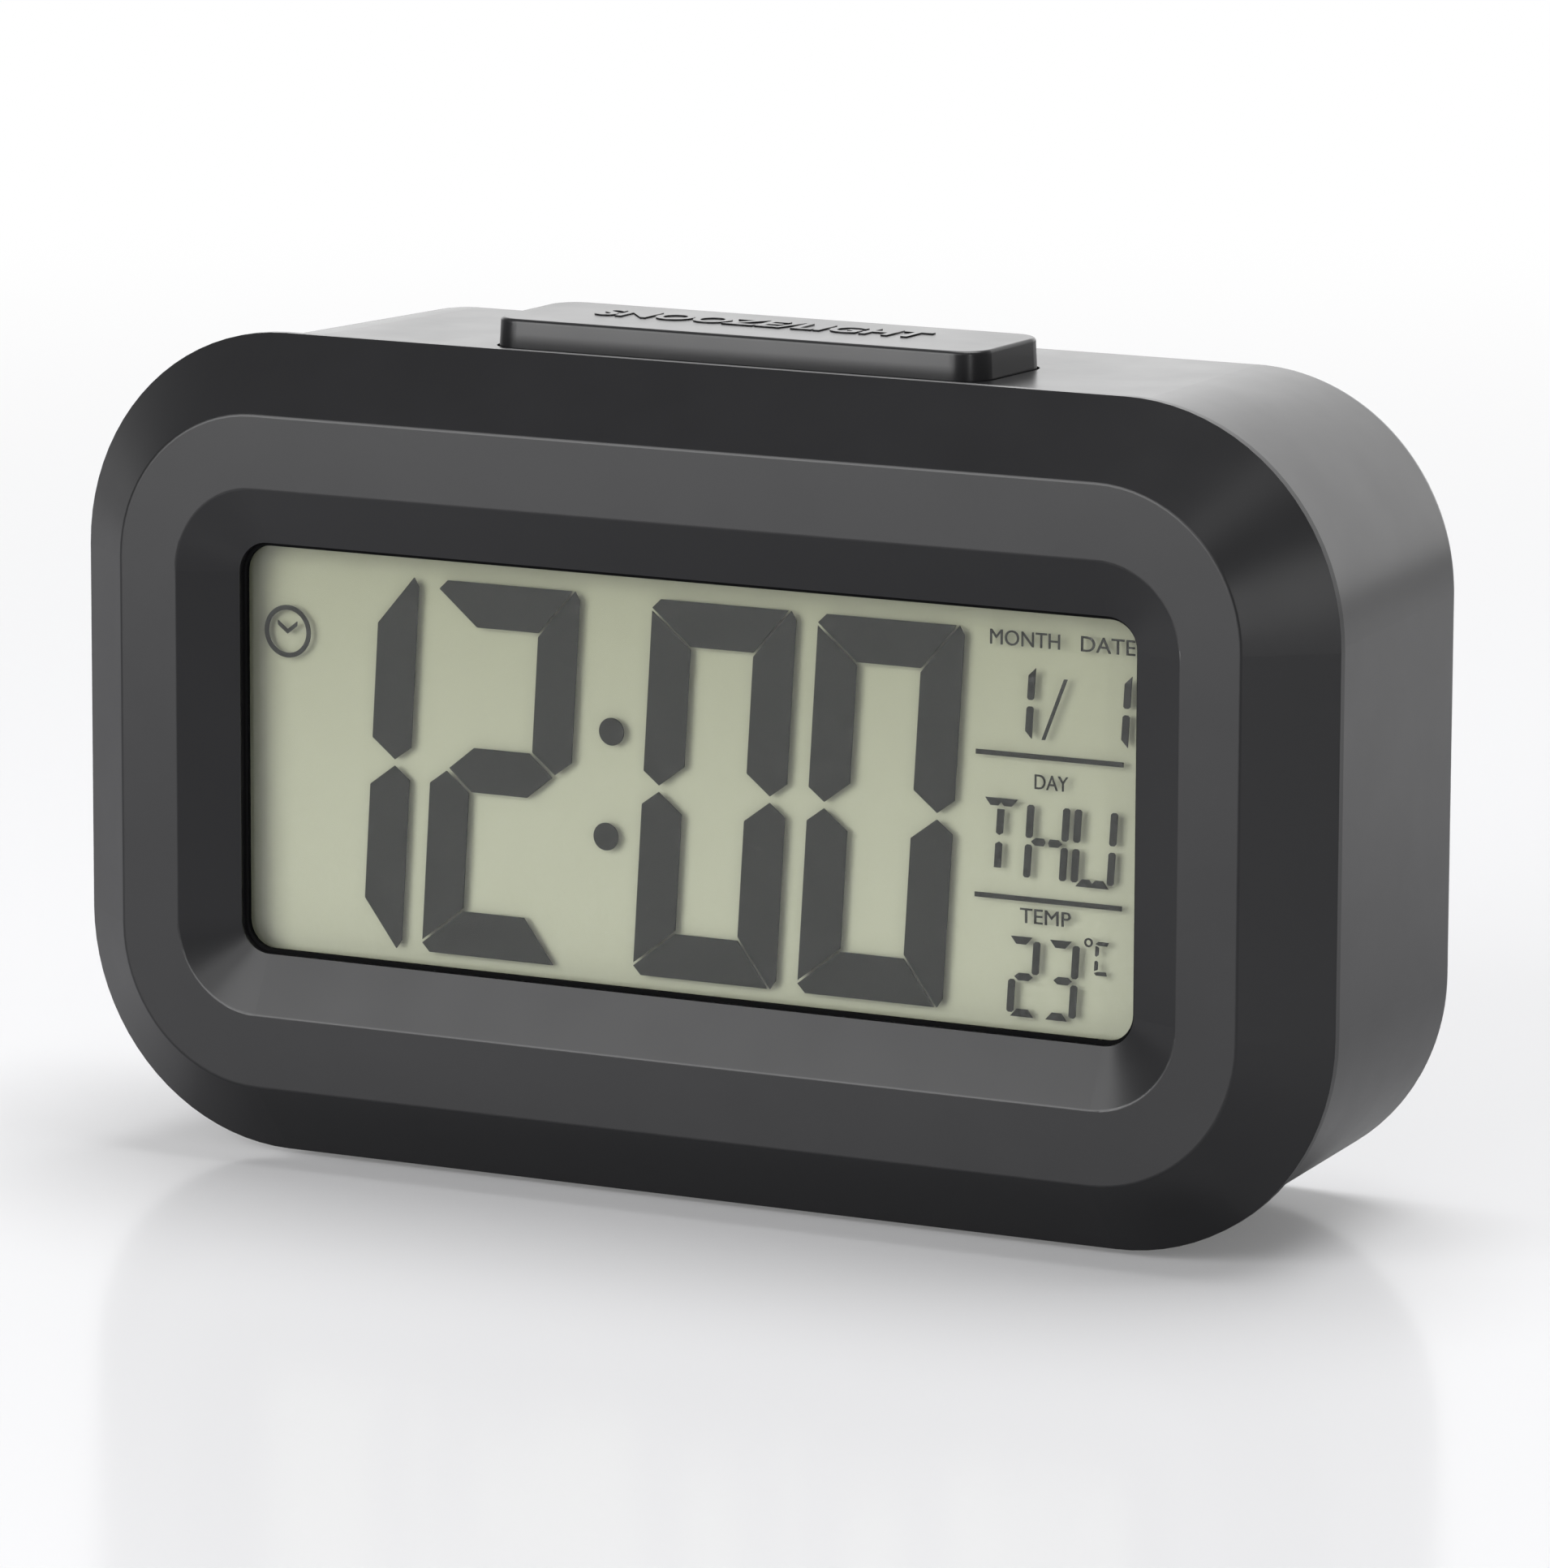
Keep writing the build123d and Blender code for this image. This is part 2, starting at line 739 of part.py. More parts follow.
with BuildPart() as capacitors:
    with BuildSketch(face_plane(board_back)):
        with Locations((capacitor_x, capacitor_z), (capacitor_x + capacitor_pitch, capacitor_z)):
            Circle(capacitor_radius)
    extrude(amount=-capacitor_height)
capacitors.part.label = "capacitors"
export_step(capacitors.part, "parts/capacitors.step")

with BuildPart() as thermistor:
    with BuildSketch(face_plane(board_back)):
        with Locations((bead_x, bead_z - bead_lead_pitch / 2), (bead_x, bead_z + bead_lead_pitch / 2)):
            Circle(bead_lead_radius)
    extrude(amount=-bead_standoff)
    with Locations((bead_x, board_back + bead_standoff - case_depth / 2, center_z + bead_z)):
        Sphere(bead_radius)
thermistor.part.label = "thermistor"
export_step(thermistor.part, "parts/thermistor.step")

with BuildPart() as holder_screws:
    with BuildSketch(face_plane(board_back)):
        with Locations(*holder_screw_places):
            Circle(holder_screw_head_radius)
    extrude(amount=-holder_screw_head_height)
    with BuildSketch(face_plane(board_back)):
        with Locations(*holder_screw_places):
            Circle(holder_screw_radius)
    extrude(amount=holder_screw_length)
    with BuildSketch(face_plane(board_back + holder_screw_head_height)):
        with Locations(*holder_screw_places):
            Rectangle(holder_screw_head_radius, cross_width)
            Rectangle(cross_width, holder_screw_head_radius)
    extrude(amount=cross_depth, mode=Mode.SUBTRACT)
holder_screws.part.label = "holder_screws"
export_step(holder_screws.part, "parts/holder_screws.step")

# Places of the battery compartment, the control panel and the boards behind them
rear_half_height = case_height / 2 - housing_step - top_taper
back_free_height = 2 * rear_half_height - door_height - panel_height
door_z = door_low_share * back_free_height + door_height / 2 - rear_half_height
ledge = case_depth - door_thickness - door_seat_gap
compartment_depth = 2 * battery_radius + 2 * battery_room
compartment_front = ledge - compartment_depth
compartment_width = battery_length + spring_room + 2 * contact_thickness
compartment_height = 2 * battery_pitch + 2 * battery_radius + 2 * battery_room
battery_depth = compartment_front + battery_room + battery_radius
cell_front = compartment_width / 2 - contact_thickness - contact_seat
battery_rows = [(-1, 1), (0, -1), (1, 1)]
box_half_width = compartment_width / 2 + compartment_wall
rear_inner_width, _, _ = housing_size(rear_wall, wall)
buzzer_x = (box_half_width + rear_inner_width / 2) / 2
vent_x = -buzzer_x
tab_x = compartment_width / 2 - contact_thickness / 2
tab_places = [(tab_x, door_z - battery_pitch), (-tab_x, door_z + battery_pitch)]
tab_end = compartment_front - compartment_floor - tab_reach
panel_z = door_z + door_height / 2 + panel_low_share * back_free_height + panel_height / 2
panel_face = case_depth - panel_recess
panel_inner = panel_face - wall
flange_back = panel_inner - button_rest_gap
flange_front = flange_back - button_flange_thickness
switch_face = flange_front - button_travel - press_room
slider_slot_width = slider_shaft_width + slider_travel + 2 * slider_gap
slider_slot_height = slider_shaft_height + 2 * slider_gap
button_board_back = switch_face - switch_height
button_board_front = button_board_back - board_thickness
button_names = ["mode_button", "set_button", "up_button", "down_button"]
button_places = [(first_button_x + i * button_pitch, panel_z) for i in range(len(button_names))]
last_button_x, _ = button_places[-1]
board_post_left = first_button_x + button_pitch / 2
board_post_right = (last_button_x + slider_x) / 2
board_post_rise = button_board_height / 2 - board_post_inset
board_post_places = [
    (x, panel_z + z)
    for x in (board_post_left, board_post_right)
    for z in (-board_post_rise, board_post_rise)
]
well_outer_radius = screw_well_radius + screw_well_wall
bar_top = housing_half_height + bar_height
frame_bottom = inner_top - bar_frame_drop
flange_top = frame_bottom - bar_rest_gap
flange_bottom = flange_top - bar_flange_thickness
snooze_board_top = inner_top - snooze_board_drop
snooze_switch_top = snooze_board_top + switch_height
snooze_stem_top = snooze_switch_top + bar_travel + press_room
snooze_post_x = snooze_board_width / 2 - snooze_post_inset
snooze_post_places = [(-snooze_post_x, 0), (snooze_post_x, 0)]
foot_x = case_width / 2 - foot_inset
foot_top = -housing_half_height + foot_pocket_depth
foot_bottom = -case_height / 2 - foot_drop
foot_places = [
    (x, depth - case_depth / 2) for x in (-foot_x, foot_x) for depth in (front_foot_depth, rear_foot_depth)
]

# Rear housing: tapered tub with the battery box, panel, posts and screw wells moulded in
with BuildPart() as rear_housing:
    with BuildSketch(face_plane(bezel_depth)):
        RectangleRounded(*housing_size(bezel_depth, 0))
    with BuildSketch(face_plane(case_depth)):
        RectangleRounded(*housing_size(case_depth, 0))
    loft(ruled=True)
    fillet(rear_housing.faces().sort_by(Axis.Y)[-1].edges(), radius=rear_edge_round)
    with BuildSketch(face_plane(bezel_depth)):
        RectangleRounded(*housing_size(bezel_depth, wall))
    with BuildSketch(face_plane(rear_wall)):
        RectangleRounded(*housing_size(rear_wall, wall))
    loft(ruled=True, mode=Mode.SUBTRACT)

    # Battery box and the ledge round its mouth
    with BuildSketch(face_plane(rear_wall)):
        with Locations((0, door_z)):
            Rectangle(compartment_width + 2 * compartment_wall, compartment_height + 2 * compartment_wall)
    extrude(amount=rear_wall - compartment_front + compartment_floor)
    with BuildSketch(face_plane(ledge)):
        with Locations((0, door_z)):
            RectangleRounded(
                door_width + 2 * (door_gap + compartment_wall),
                door_height + 2 * (door_gap + compartment_wall),
                door_corner + door_gap + compartment_wall,
            )
    extrude(amount=wall)
    with BuildSketch(face_plane(case_depth)):
        with Locations((0, door_z)):
            RectangleRounded(door_width + 2 * door_gap, door_height + 2 * door_gap, door_corner + door_gap)
    extrude(amount=case_depth - ledge, mode=Mode.SUBTRACT)
    with BuildSketch(face_plane(ledge)):
        with Locations((0, door_z)):
            Rectangle(compartment_width, compartment_height)
    extrude(amount=compartment_depth, mode=Mode.SUBTRACT)

    with BuildSketch(face_plane(compartment_front)):
        with Locations(*tab_places):
            Rectangle(contact_thickness + 2 * tab_gap, tab_width + 2 * tab_gap)
    extrude(amount=compartment_floor, mode=Mode.SUBTRACT)

    # Recessed control panel with its openings
    with BuildSketch(face_plane(rear_wall)):
        with Locations((0, panel_z)):
            RectangleRounded(panel_width + 2 * wall, panel_height + 2 * wall, panel_corner + wall)
    extrude(amount=rear_wall - panel_inner)
    with BuildSketch(face_plane(case_depth)):
        with Locations((0, panel_z)):
            RectangleRounded(panel_width, panel_height, panel_corner)
    extrude(amount=panel_recess, mode=Mode.SUBTRACT)
    with BuildSketch(face_plane(panel_face)):
        with Locations(*button_places):
            SlotOverall(button_width + 2 * button_gap, button_height + 2 * button_gap)
        with Locations((slider_x, panel_z)):
            Rectangle(slider_slot_width, slider_slot_height)
    extrude(amount=wall, mode=Mode.SUBTRACT)

    # Posts for the button board
    with BuildSketch(face_plane(rear_wall)):
        with Locations(*board_post_places):
            Circle(board_post_radius)
    extrude(amount=rear_wall - button_board_back)
    with BuildSketch(face_plane(button_board_back)):
        with Locations(*board_post_places):
            Circle(board_screw_radius + thread_gap)
    extrude(amount=-board_screw_length, mode=Mode.SUBTRACT)

    # Screw wells
    with BuildSketch(face_plane(boss_end)):
        with Locations(*boss_places):
            Circle(well_outer_radius)
    extrude(amount=-(rear_wall - boss_end))
    with BuildSketch(face_plane(boss_end)):
        with Locations(*boss_places):
            Circle(screw_hole_radius)
    extrude(amount=-screw_seat, mode=Mode.SUBTRACT)
    with BuildSketch(face_plane(boss_end + screw_seat)):
        with Locations(*boss_places):
            Circle(screw_well_radius)
    extrude(amount=-(case_depth - boss_end - screw_seat), mode=Mode.SUBTRACT)

    # Frame and opening for the snooze bar, and the posts that carry its board
    with BuildSketch(level_plane(frame_bottom)):
        RectangleRounded(
            bar_width + 2 * bar_frame_margin,
            bar_depth + 2 * bar_frame_margin,
            bar_corner + bar_frame_margin,
        )
    extrude(amount=bar_frame_drop + wall / 2)
    with BuildSketch(level_plane(frame_bottom)):
        RectangleRounded(bar_width + 2 * bar_gap, bar_depth + 2 * bar_gap, bar_corner + bar_gap)
    extrude(amount=bar_frame_drop + 2 * wall, mode=Mode.SUBTRACT)
    with BuildSketch(level_plane(snooze_board_top)):
        with Locations(*snooze_post_places):
            Circle(board_post_radius)
    extrude(amount=inner_top + wall / 2 - snooze_board_top)
    with BuildSketch(level_plane(snooze_board_top)):
        with Locations(*snooze_post_places):
            Circle(board_screw_radius + thread_gap)
    extrude(amount=board_screw_length, mode=Mode.SUBTRACT)

    # Buzzer seat with sound holes, and vents beside the temperature sensor
    with BuildSketch(face_plane(rear_wall)):
        with Locations((buzzer_x, buzzer_z)):
            Circle(buzzer_radius)
            Circle(buzzer_radius - buzzer_seat_width, mode=Mode.SUBTRACT)
    extrude(amount=buzzer_seat_height)
    with BuildSketch(face_plane(case_depth)):
        with Locations((buzzer_x, buzzer_z)):
            Circle(sound_hole_radius)
            with PolarLocations(sound_ring_radius, sound_hole_count):
                Circle(sound_hole_radius)
        with Locations((vent_x, buzzer_z)):
            with GridLocations(0, vent_pitch, 1, vent_count):
                SlotOverall(vent_length, vent_width)
    extrude(amount=wall, mode=Mode.SUBTRACT)

    # Pockets for the feet
    with BuildSketch(level_plane(foot_top)):
        with Locations(*foot_places):
            Circle(foot_radius + foot_pocket_gap)
    extrude(amount=-wall, mode=Mode.SUBTRACT)
rear_housing.part.label = "rear_housing"
export_step(rear_housing.part, "parts/rear_housing.step")

# Case screws, driven from the back into the bezel's bosses
with BuildPart() as case_screws:
    with BuildSketch(face_plane(boss_end + screw_seat)):
        with Locations(*boss_places):
            Circle(screw_head_radius)
    extrude(amount=-screw_head_height)
    with BuildSketch(face_plane(boss_end + screw_seat)):
        with Locations(*boss_places):
            Circle(screw_radius)
    extrude(amount=screw_length)
    with BuildSketch(face_plane(boss_end + screw_seat + screw_head_height)):
        with Locations(*boss_places):
            Rectangle(screw_head_radius, cross_width)
            Rectangle(cross_width, screw_head_radius)
    extrude(amount=cross_depth, mode=Mode.SUBTRACT)
case_screws.part.label = "case_screws"
export_step(case_screws.part, "parts/case_screws.step")

# Rubber feet
with BuildPart() as rubber_feet:
    with BuildSketch(level_plane(foot_bottom)):
        with Locations(*foot_places):
            Circle(foot_radius)
    extrude(amount=foot_top - foot_bottom)
    fillet(rubber_feet.edges().group_by(Axis.Z)[0], radius=foot_edge_round)
rubber_feet.part.label = "rubber_feet"
export_step(rubber_feet.part, "parts/rubber_feet.step")

# Snooze bar: hollow cap with drafted sides, a retaining flange and a plunger
with BuildPart() as snooze_bar:
    with BuildSketch(level_plane(flange_bottom)):
        RectangleRounded(bar_width, bar_depth, bar_corner)
    extrude(amount=housing_half_height - flange_bottom)
    with BuildSketch(level_plane(housing_half_height)):
        RectangleRounded(bar_width, bar_depth, bar_corner)
    extrude(amount=bar_height, taper=bar_draft)
    fillet(snooze_bar.faces().sort_by(Axis.Z)[-1].edges(), radius=bar_edge_round)
    with BuildSketch(level_plane(flange_bottom)):
        RectangleRounded(bar_width + 2 * bar_flange, bar_depth + 2 * bar_flange, bar_corner + bar_flange)
    extrude(amount=bar_flange_thickness)
    with BuildSketch(level_plane(flange_bottom)):
        RectangleRounded(bar_width - 2 * bar_wall, bar_depth - 2 * bar_wall, bar_corner - bar_wall)
    extrude(amount=bar_top - bar_wall - flange_bottom, mode=Mode.SUBTRACT)
    with BuildSketch(level_plane(snooze_stem_top)):
        Circle(plunger_radius)
    extrude(amount=bar_top - bar_wall - snooze_stem_top)
snooze_bar.part.label = "snooze_bar"
export_step(snooze_bar.part, "parts/snooze_bar.step")

with BuildPart() as snooze_stem:
    with BuildSketch(level_plane(snooze_stem_top)):
        Circle(stem_radius)
    extrude(amount=-stem_length)
snooze_stem.part.label = "snooze_stem"
export_step(snooze_stem.part, "parts/snooze_stem.step")

with BuildPart() as snooze_switch:
    with BuildSketch(level_plane(snooze_board_top)):
        Rectangle(switch_size, switch_size)
    extrude(amount=switch_height)
    with BuildSketch(level_plane(snooze_switch_top)):
        Circle(stem_radius + stem_gap)
    extrude(amount=-(stem_length - press_room + stem_floor), mode=Mode.SUBTRACT)
snooze_switch.part.label = "snooze_switch"
export_step(snooze_switch.part, "parts/snooze_switch.step")

with BuildPart() as snooze_board:
    with BuildSketch(level_plane(snooze_board_top)):
        Rectangle(snooze_board_width, snooze_board_depth)
        with Locations(*snooze_post_places):
            Circle(board_hole_radius, mode=Mode.SUBTRACT)
    extrude(amount=-board_thickness)
snooze_board.part.label = "snooze_board"
export_step(snooze_board.part, "parts/snooze_board.step")

# Push buttons on the back, each with the stem of its switch
for name, place in zip(button_names, button_places):
    with BuildPart() as button:
        with BuildSketch(face_plane(flange_front)):
            with Locations(place):
                SlotOverall(button_width, button_height)
        extrude(amount=-(panel_face + button_rise - flange_front))
        fillet(button.faces().sort_by(Axis.Y)[-1].edges(), radius=button_edge_round)
        with BuildSketch(face_plane(flange_front)):
            with Locations(place):
                SlotOverall(button_width + 2 * button_flange, button_height + 2 * button_flange)
        extrude(amount=-button_flange_thickness)
    button.part.label = name
    export_step(button.part, f"parts/{name}.step")

    stem_name = name.replace("button", "stem")
    with BuildPart() as stem:
        with BuildSketch(face_plane(flange_front)):
            with Locations(place):
                Circle(stem_radius)
        extrude(amount=stem_length)
    stem.part.label = stem_name
    export_step(stem.part, f"parts/{stem_name}.step")

# Button board with its push switches and the body of the alarm switch
with BuildPart() as button_board:
    with BuildSketch(face_plane(button_board_front)):
        with Locations((0, panel_z)):
            RectangleRounded(button_board_width, button_board_height, board_corner)
        with Locations(*board_post_places):
            Circle(board_hole_radius, mode=Mode.SUBTRACT)
        with Locations(*boss_places):
            Circle(well_outer_radius + board_well_gap, mode=Mode.SUBTRACT)
    extrude(amount=-board_thickness)
button_board.part.label = "button_board"
export_step(button_board.part, "parts/button_board.step")

with BuildPart() as button_switches:
    with BuildSketch(face_plane(button_board_back)):
        with Locations(*button_places):
            Rectangle(switch_size, switch_size)
    extrude(amount=-switch_height)
    with BuildSketch(face_plane(switch_face)):
        with Locations(*button_places):
            Circle(stem_radius + stem_gap)
    extrude(amount=stem_length - press_room + stem_floor, mode=Mode.SUBTRACT)
button_switches.part.label = "button_switches"
export_step(button_switches.part, "parts/button_switches.step")

slider_end = switch_face - slider_reach
with BuildPart() as alarm_switch:
    with BuildSketch(face_plane(button_board_back)):
        with Locations((slider_x, panel_z)):
            Rectangle(slider_body_width, slider_body_height)
    extrude(amount=-switch_height)
    with BuildSketch(face_plane(switch_face)):
        with Locations((slider_x, panel_z)):
            Rectangle(slider_slot_width, slider_slot_height)
    extrude(amount=slider_reach + slider_gap, mode=Mode.SUBTRACT)
alarm_switch.part.label = "alarm_switch"
export_step(alarm_switch.part, "parts/alarm_switch.step")

# Alarm slider, shown at the off end of its slot
slider_rest_x = slider_x - slider_travel / 2
slider_head_front = panel_face + slider_float
with BuildPart() as alarm_slider:
    with BuildSketch(face_plane(slider_end)):
        with Locations((slider_rest_x, panel_z)):
            Rectangle(slider_shaft_width, slider_shaft_height)
    extrude(amount=-(slider_head_front - slider_end))
    with BuildSketch(face_plane(slider_head_front)):
        with Locations((slider_rest_x, panel_z)):
            Rectangle(slider_head_width, slider_head_height)
    extrude(amount=-slider_head_thickness)
    with BuildSketch(face_plane(slider_head_front + slider_head_thickness)):
        with Locations((slider_rest_x, panel_z)):
            with GridLocations(slider_grip_pitch, 0, slider_grip_count, 1):
                Rectangle(slider_grip_line, slider_head_height)
    extrude(amount=slider_grip_line, mode=Mode.SUBTRACT)
alarm_slider.part.label = "alarm_slider"
export_step(alarm_slider.part, "parts/alarm_slider.step")

# Screws of the button board and the snooze board
with BuildPart() as board_screws:
    with BuildSketch(face_plane(button_board_front)):
        with Locations(*board_post_places):
            Circle(board_screw_head_radius)
    extrude(amount=board_screw_head_height)
    with BuildSketch(face_plane(button_board_front)):
        with Locations(*board_post_places):
            Circle(board_screw_radius)
    extrude(amount=-board_screw_length)
    with BuildSketch(level_plane(snooze_board_top - board_thickness)):
        with Locations(*snooze_post_places):
            Circle(board_screw_head_radius)
    extrude(amount=-board_screw_head_height)
    with BuildSketch(level_plane(snooze_board_top - board_thickness)):
        with Locations(*snooze_post_places):
            Circle(board_screw_radius)
    extrude(amount=board_screw_length)
board_screws.part.label = "board_screws"
export_step(board_screws.part, "parts/board_screws.step")

# Battery cells lie side by side, every second one turned round
def row_plane(row, along, turned):
    """Plane square to one battery's axis, facing the way that its nub points."""
    return Plane(
        origin=(along * turned, battery_depth - case_depth / 2, center_z + door_z + row * battery_pitch),
        z_dir=(turned, 0, 0),
    )


with BuildPart() as batteries:
    for row, turned in battery_rows:
        with BuildSketch(row_plane(row, cell_front - battery_length, turned)):
            Circle(battery_radius)
        extrude(amount=battery_length - battery_nub_length)
        with BuildSketch(row_plane(row, cell_front - battery_nub_length, turned)):
            Circle(battery_nub_radius)
        extrude(amount=battery_nub_length)
    round_edges = batteries.edges().filter_by(GeomType.CIRCLE)
    fillet(round_edges.filter_by(lambda edge: edge.radius > battery_nub_radius), radius=battery_edge_round)
batteries.part.label = "batteries"
export_step(batteries.part, "parts/batteries.step")

# Contact plates at both ends of each battery
with BuildPart() as contact_plates:
    for row, turned in battery_rows:
        for along in (-compartment_width / 2, compartment_width / 2 - contact_thickness):
            with BuildSketch(row_plane(row, along, turned)):
                Rectangle(contact_width, contact_width)
            extrude(amount=contact_thickness)
    for x, z in tab_places:
        with BuildSketch(face_plane(tab_end)):
            with Locations((x, z)):
                Rectangle(contact_thickness, tab_width)
        extrude(amount=-(battery_depth - tab_end))
contact_plates.part.label = "contact_plates"
export_step(contact_plates.part, "parts/contact_plates.step")

# Coiled contact springs between the plates and the flat ends of the batteries
spring_start = -compartment_width / 2 + contact_thickness + wire_radius + contact_seat
spring_stop = cell_front - battery_length - wire_radius - contact_seat
spring_rise = (spring_stop - spring_start) / (2 * pi * spring_turns)


def coil_point(row, turned, angle):
    """Point on a spring's centre line, and the direction in which the wire runs there."""
    point = Vector(
        turned * (spring_start + spring_rise * angle),
        battery_depth - case_depth / 2 + spring_radius * cos(angle),
        center_z + door_z + row * battery_pitch + spring_radius * sin(angle),
    )
    way = Vector(turned * spring_rise, -spring_radius * sin(angle), spring_radius * cos(angle))
    return point, way.normalized()


def coil_arcs(row, turned):
    """Start, end and first direction of the arcs along a coil, a tangent pair for each quarter turn."""
    arcs = []
    for quarter in range(4 * spring_turns):
        start, start_way = coil_point(row, turned, quarter * pi / 2)
        end, end_way = coil_point(row, turned, (quarter + 1) * pi / 2)
        chord = end - start
        along = chord.dot(start_way + end_way)
        spread = 2 * (1 - start_way.dot(end_way))
        reach = (sqrt(along * along + spread * chord.dot(chord)) - along) / spread
        joint = (start + start_way * reach + end - end_way * reach) / 2
        arcs.append((start, joint, start_way))
        arcs.append((joint, end, (end - end_way * reach - joint).normalized()))
    return arcs


with BuildPart() as contact_springs:
    for row, turned in battery_rows:
        with BuildLine() as coil:
            for start, end, way in coil_arcs(row, turned):
                TangentArc(start, end, tangent=way)
        with BuildSketch(Plane(origin=coil.line @ 0, z_dir=coil.line % 0)):
            Circle(wire_radius)
        sweep(path=coil.line)
contact_springs.part.label = "contact_springs"
export_step(contact_springs.part, "parts/contact_springs.step")

# Least gap between the turns of one spring, on points along its centre line
samples_per_turn = 48
coil_points = [
    coil_point(0, 1, 2 * pi * i / samples_per_turn)[0] for i in range(spring_turns * samples_per_turn + 1)
]
turn_gap = min(
    (coil_points[i] - coil_points[j]).length - 2 * wire_radius
    for i in range(len(coil_points))
    for j in range(i + samples_per_turn // 2, len(coil_points))
)
print(f"contact spring: least gap between turns {turn_gap:.2f} mm")

# Battery door with a thumb hollow and grip lines
with BuildPart() as battery_door:
    with BuildSketch(face_plane(case_depth - door_thickness)):
        with Locations((0, door_z)):
            RectangleRounded(door_width, door_height, door_corner)
    extrude(amount=-door_thickness)
    fillet(battery_door.faces().sort_by(Axis.Y)[-1].edges(), radius=door_edge_round)
    thumb_z = door_z + door_height / 2 - thumb_inset
    with BuildSketch(face_plane(case_depth)):
        with Locations((0, thumb_z)):
            Circle(thumb_radius)
    extrude(amount=thumb_depth, mode=Mode.SUBTRACT)
    with BuildSketch(face_plane(case_depth)):
        with Locations((0, thumb_z - thumb_radius - grip_count * grip_pitch)):
            with GridLocations(0, grip_pitch, 1, grip_count):
                SlotOverall(grip_length, grip_line)
    extrude(amount=grip_depth, mode=Mode.SUBTRACT)
battery_door.part.label = "battery_door"
export_step(battery_door.part, "parts/battery_door.step")

# Buzzer: brass plate glued to its seat, with the ceramic disc on it
buzzer_back = rear_wall - buzzer_seat_height
with BuildPart() as buzzer_plate:
    with BuildSketch(face_plane(buzzer_back)):
        with Locations((buzzer_x, buzzer_z)):
            Circle(buzzer_radius)
    extrude(amount=buzzer_thickness)
buzzer_plate.part.label = "buzzer_plate"
export_step(buzzer_plate.part, "parts/buzzer_plate.step")

with BuildPart() as buzzer_ceramic:
    with BuildSketch(face_plane(buzzer_back - buzzer_thickness)):
        with Locations((buzzer_x, buzzer_z)):
            Circle(ceramic_radius)
    extrude(amount=ceramic_thickness)
buzzer_ceramic.part.label = "buzzer_ceramic"
export_step(buzzer_ceramic.part, "parts/buzzer_ceramic.step")

# Leads from the main board to the battery contacts, the buzzer, the snooze board and the button board
def lead_point(x, depth, height):
    """Point at a depth and at a height over the middle of the case."""
    return (x, depth - case_depth / 2, center_z + height)


def level_route(x, z, start_depth, end_x, end_z):
    """Route forward from a piece to the back of the main board, with one sideways step on the way."""
    step_depth = (start_depth + board_back) / 2
    return [
        lead_point(x, start_depth, z),
        lead_point(x, step_depth, z),
        lead_point(end_x, step_depth, end_z),
        lead_point(end_x, board_back, end_z),
    ]


lead_routes = []
for x, z in tab_places:
    inward = 1 if x < 0 else -1
    lead_routes.append(level_route(x, z, tab_end, x + inward * lead_slack, z + lead_slack))
ceramic_front = buzzer_back - buzzer_thickness - ceramic_thickness
plate_lead_z = buzzer_z + (buzzer_radius + ceramic_radius) / 2
lead_routes.append(level_route(buzzer_x, buzzer_z, ceramic_front, buzzer_x, buzzer_z - lead_slack))
plate_front = buzzer_back - buzzer_thickness
lead_routes.append(level_route(buzzer_x, plate_lead_z, plate_front, buzzer_x, plate_lead_z - lead_slack))
snooze_board_bottom = snooze_board_top - board_thickness
for i in range(snooze_lead_count):
    x = snooze_lead_x + i * lead_pitch
    turn_height = snooze_board_bottom - snooze_lead_drop
    lead_routes.append([
        lead_point(x, case_depth / 2, snooze_board_bottom),
        lead_point(x, case_depth / 2, turn_height),
        lead_point(x, board_back, turn_height),
    ])
for i in range(button_lead_count):
    x = button_lead_x + (i - 1) * lead_pitch
    lead_routes.append(level_route(x, panel_z - lead_slack, button_board_front, x, button_lead_z))

with BuildPart() as wiring_leads:
    for route in lead_routes:
        with BuildLine() as lead:
            FilletPolyline(*route, radius=lead_bend)
        with BuildSketch(Plane(origin=lead.line @ 0, z_dir=lead.line % 0)):
            Circle(lead_radius)
        sweep(path=lead.line)
wiring_leads.part.label = "wiring_leads"
export_step(wiring_leads.part, "parts/wiring_leads.step")
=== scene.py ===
from math import pi, radians

import bpy
from mathutils import Euler, Matrix, Vector


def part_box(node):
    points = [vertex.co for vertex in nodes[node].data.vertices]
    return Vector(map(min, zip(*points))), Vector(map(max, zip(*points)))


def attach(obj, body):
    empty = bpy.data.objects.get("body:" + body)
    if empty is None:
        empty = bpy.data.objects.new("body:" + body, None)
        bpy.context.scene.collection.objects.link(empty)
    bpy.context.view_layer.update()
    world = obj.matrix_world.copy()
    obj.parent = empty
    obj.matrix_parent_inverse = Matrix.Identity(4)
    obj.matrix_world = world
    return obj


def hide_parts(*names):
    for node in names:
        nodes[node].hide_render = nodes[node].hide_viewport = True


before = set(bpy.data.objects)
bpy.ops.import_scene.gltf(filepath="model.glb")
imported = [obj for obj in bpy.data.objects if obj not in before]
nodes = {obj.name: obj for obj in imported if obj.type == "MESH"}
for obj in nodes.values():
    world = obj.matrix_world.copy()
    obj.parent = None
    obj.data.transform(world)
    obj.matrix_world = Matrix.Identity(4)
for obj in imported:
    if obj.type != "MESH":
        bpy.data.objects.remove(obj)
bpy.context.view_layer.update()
bpy.context.scene.view_settings.view_transform = "Standard"
MM = 0.001


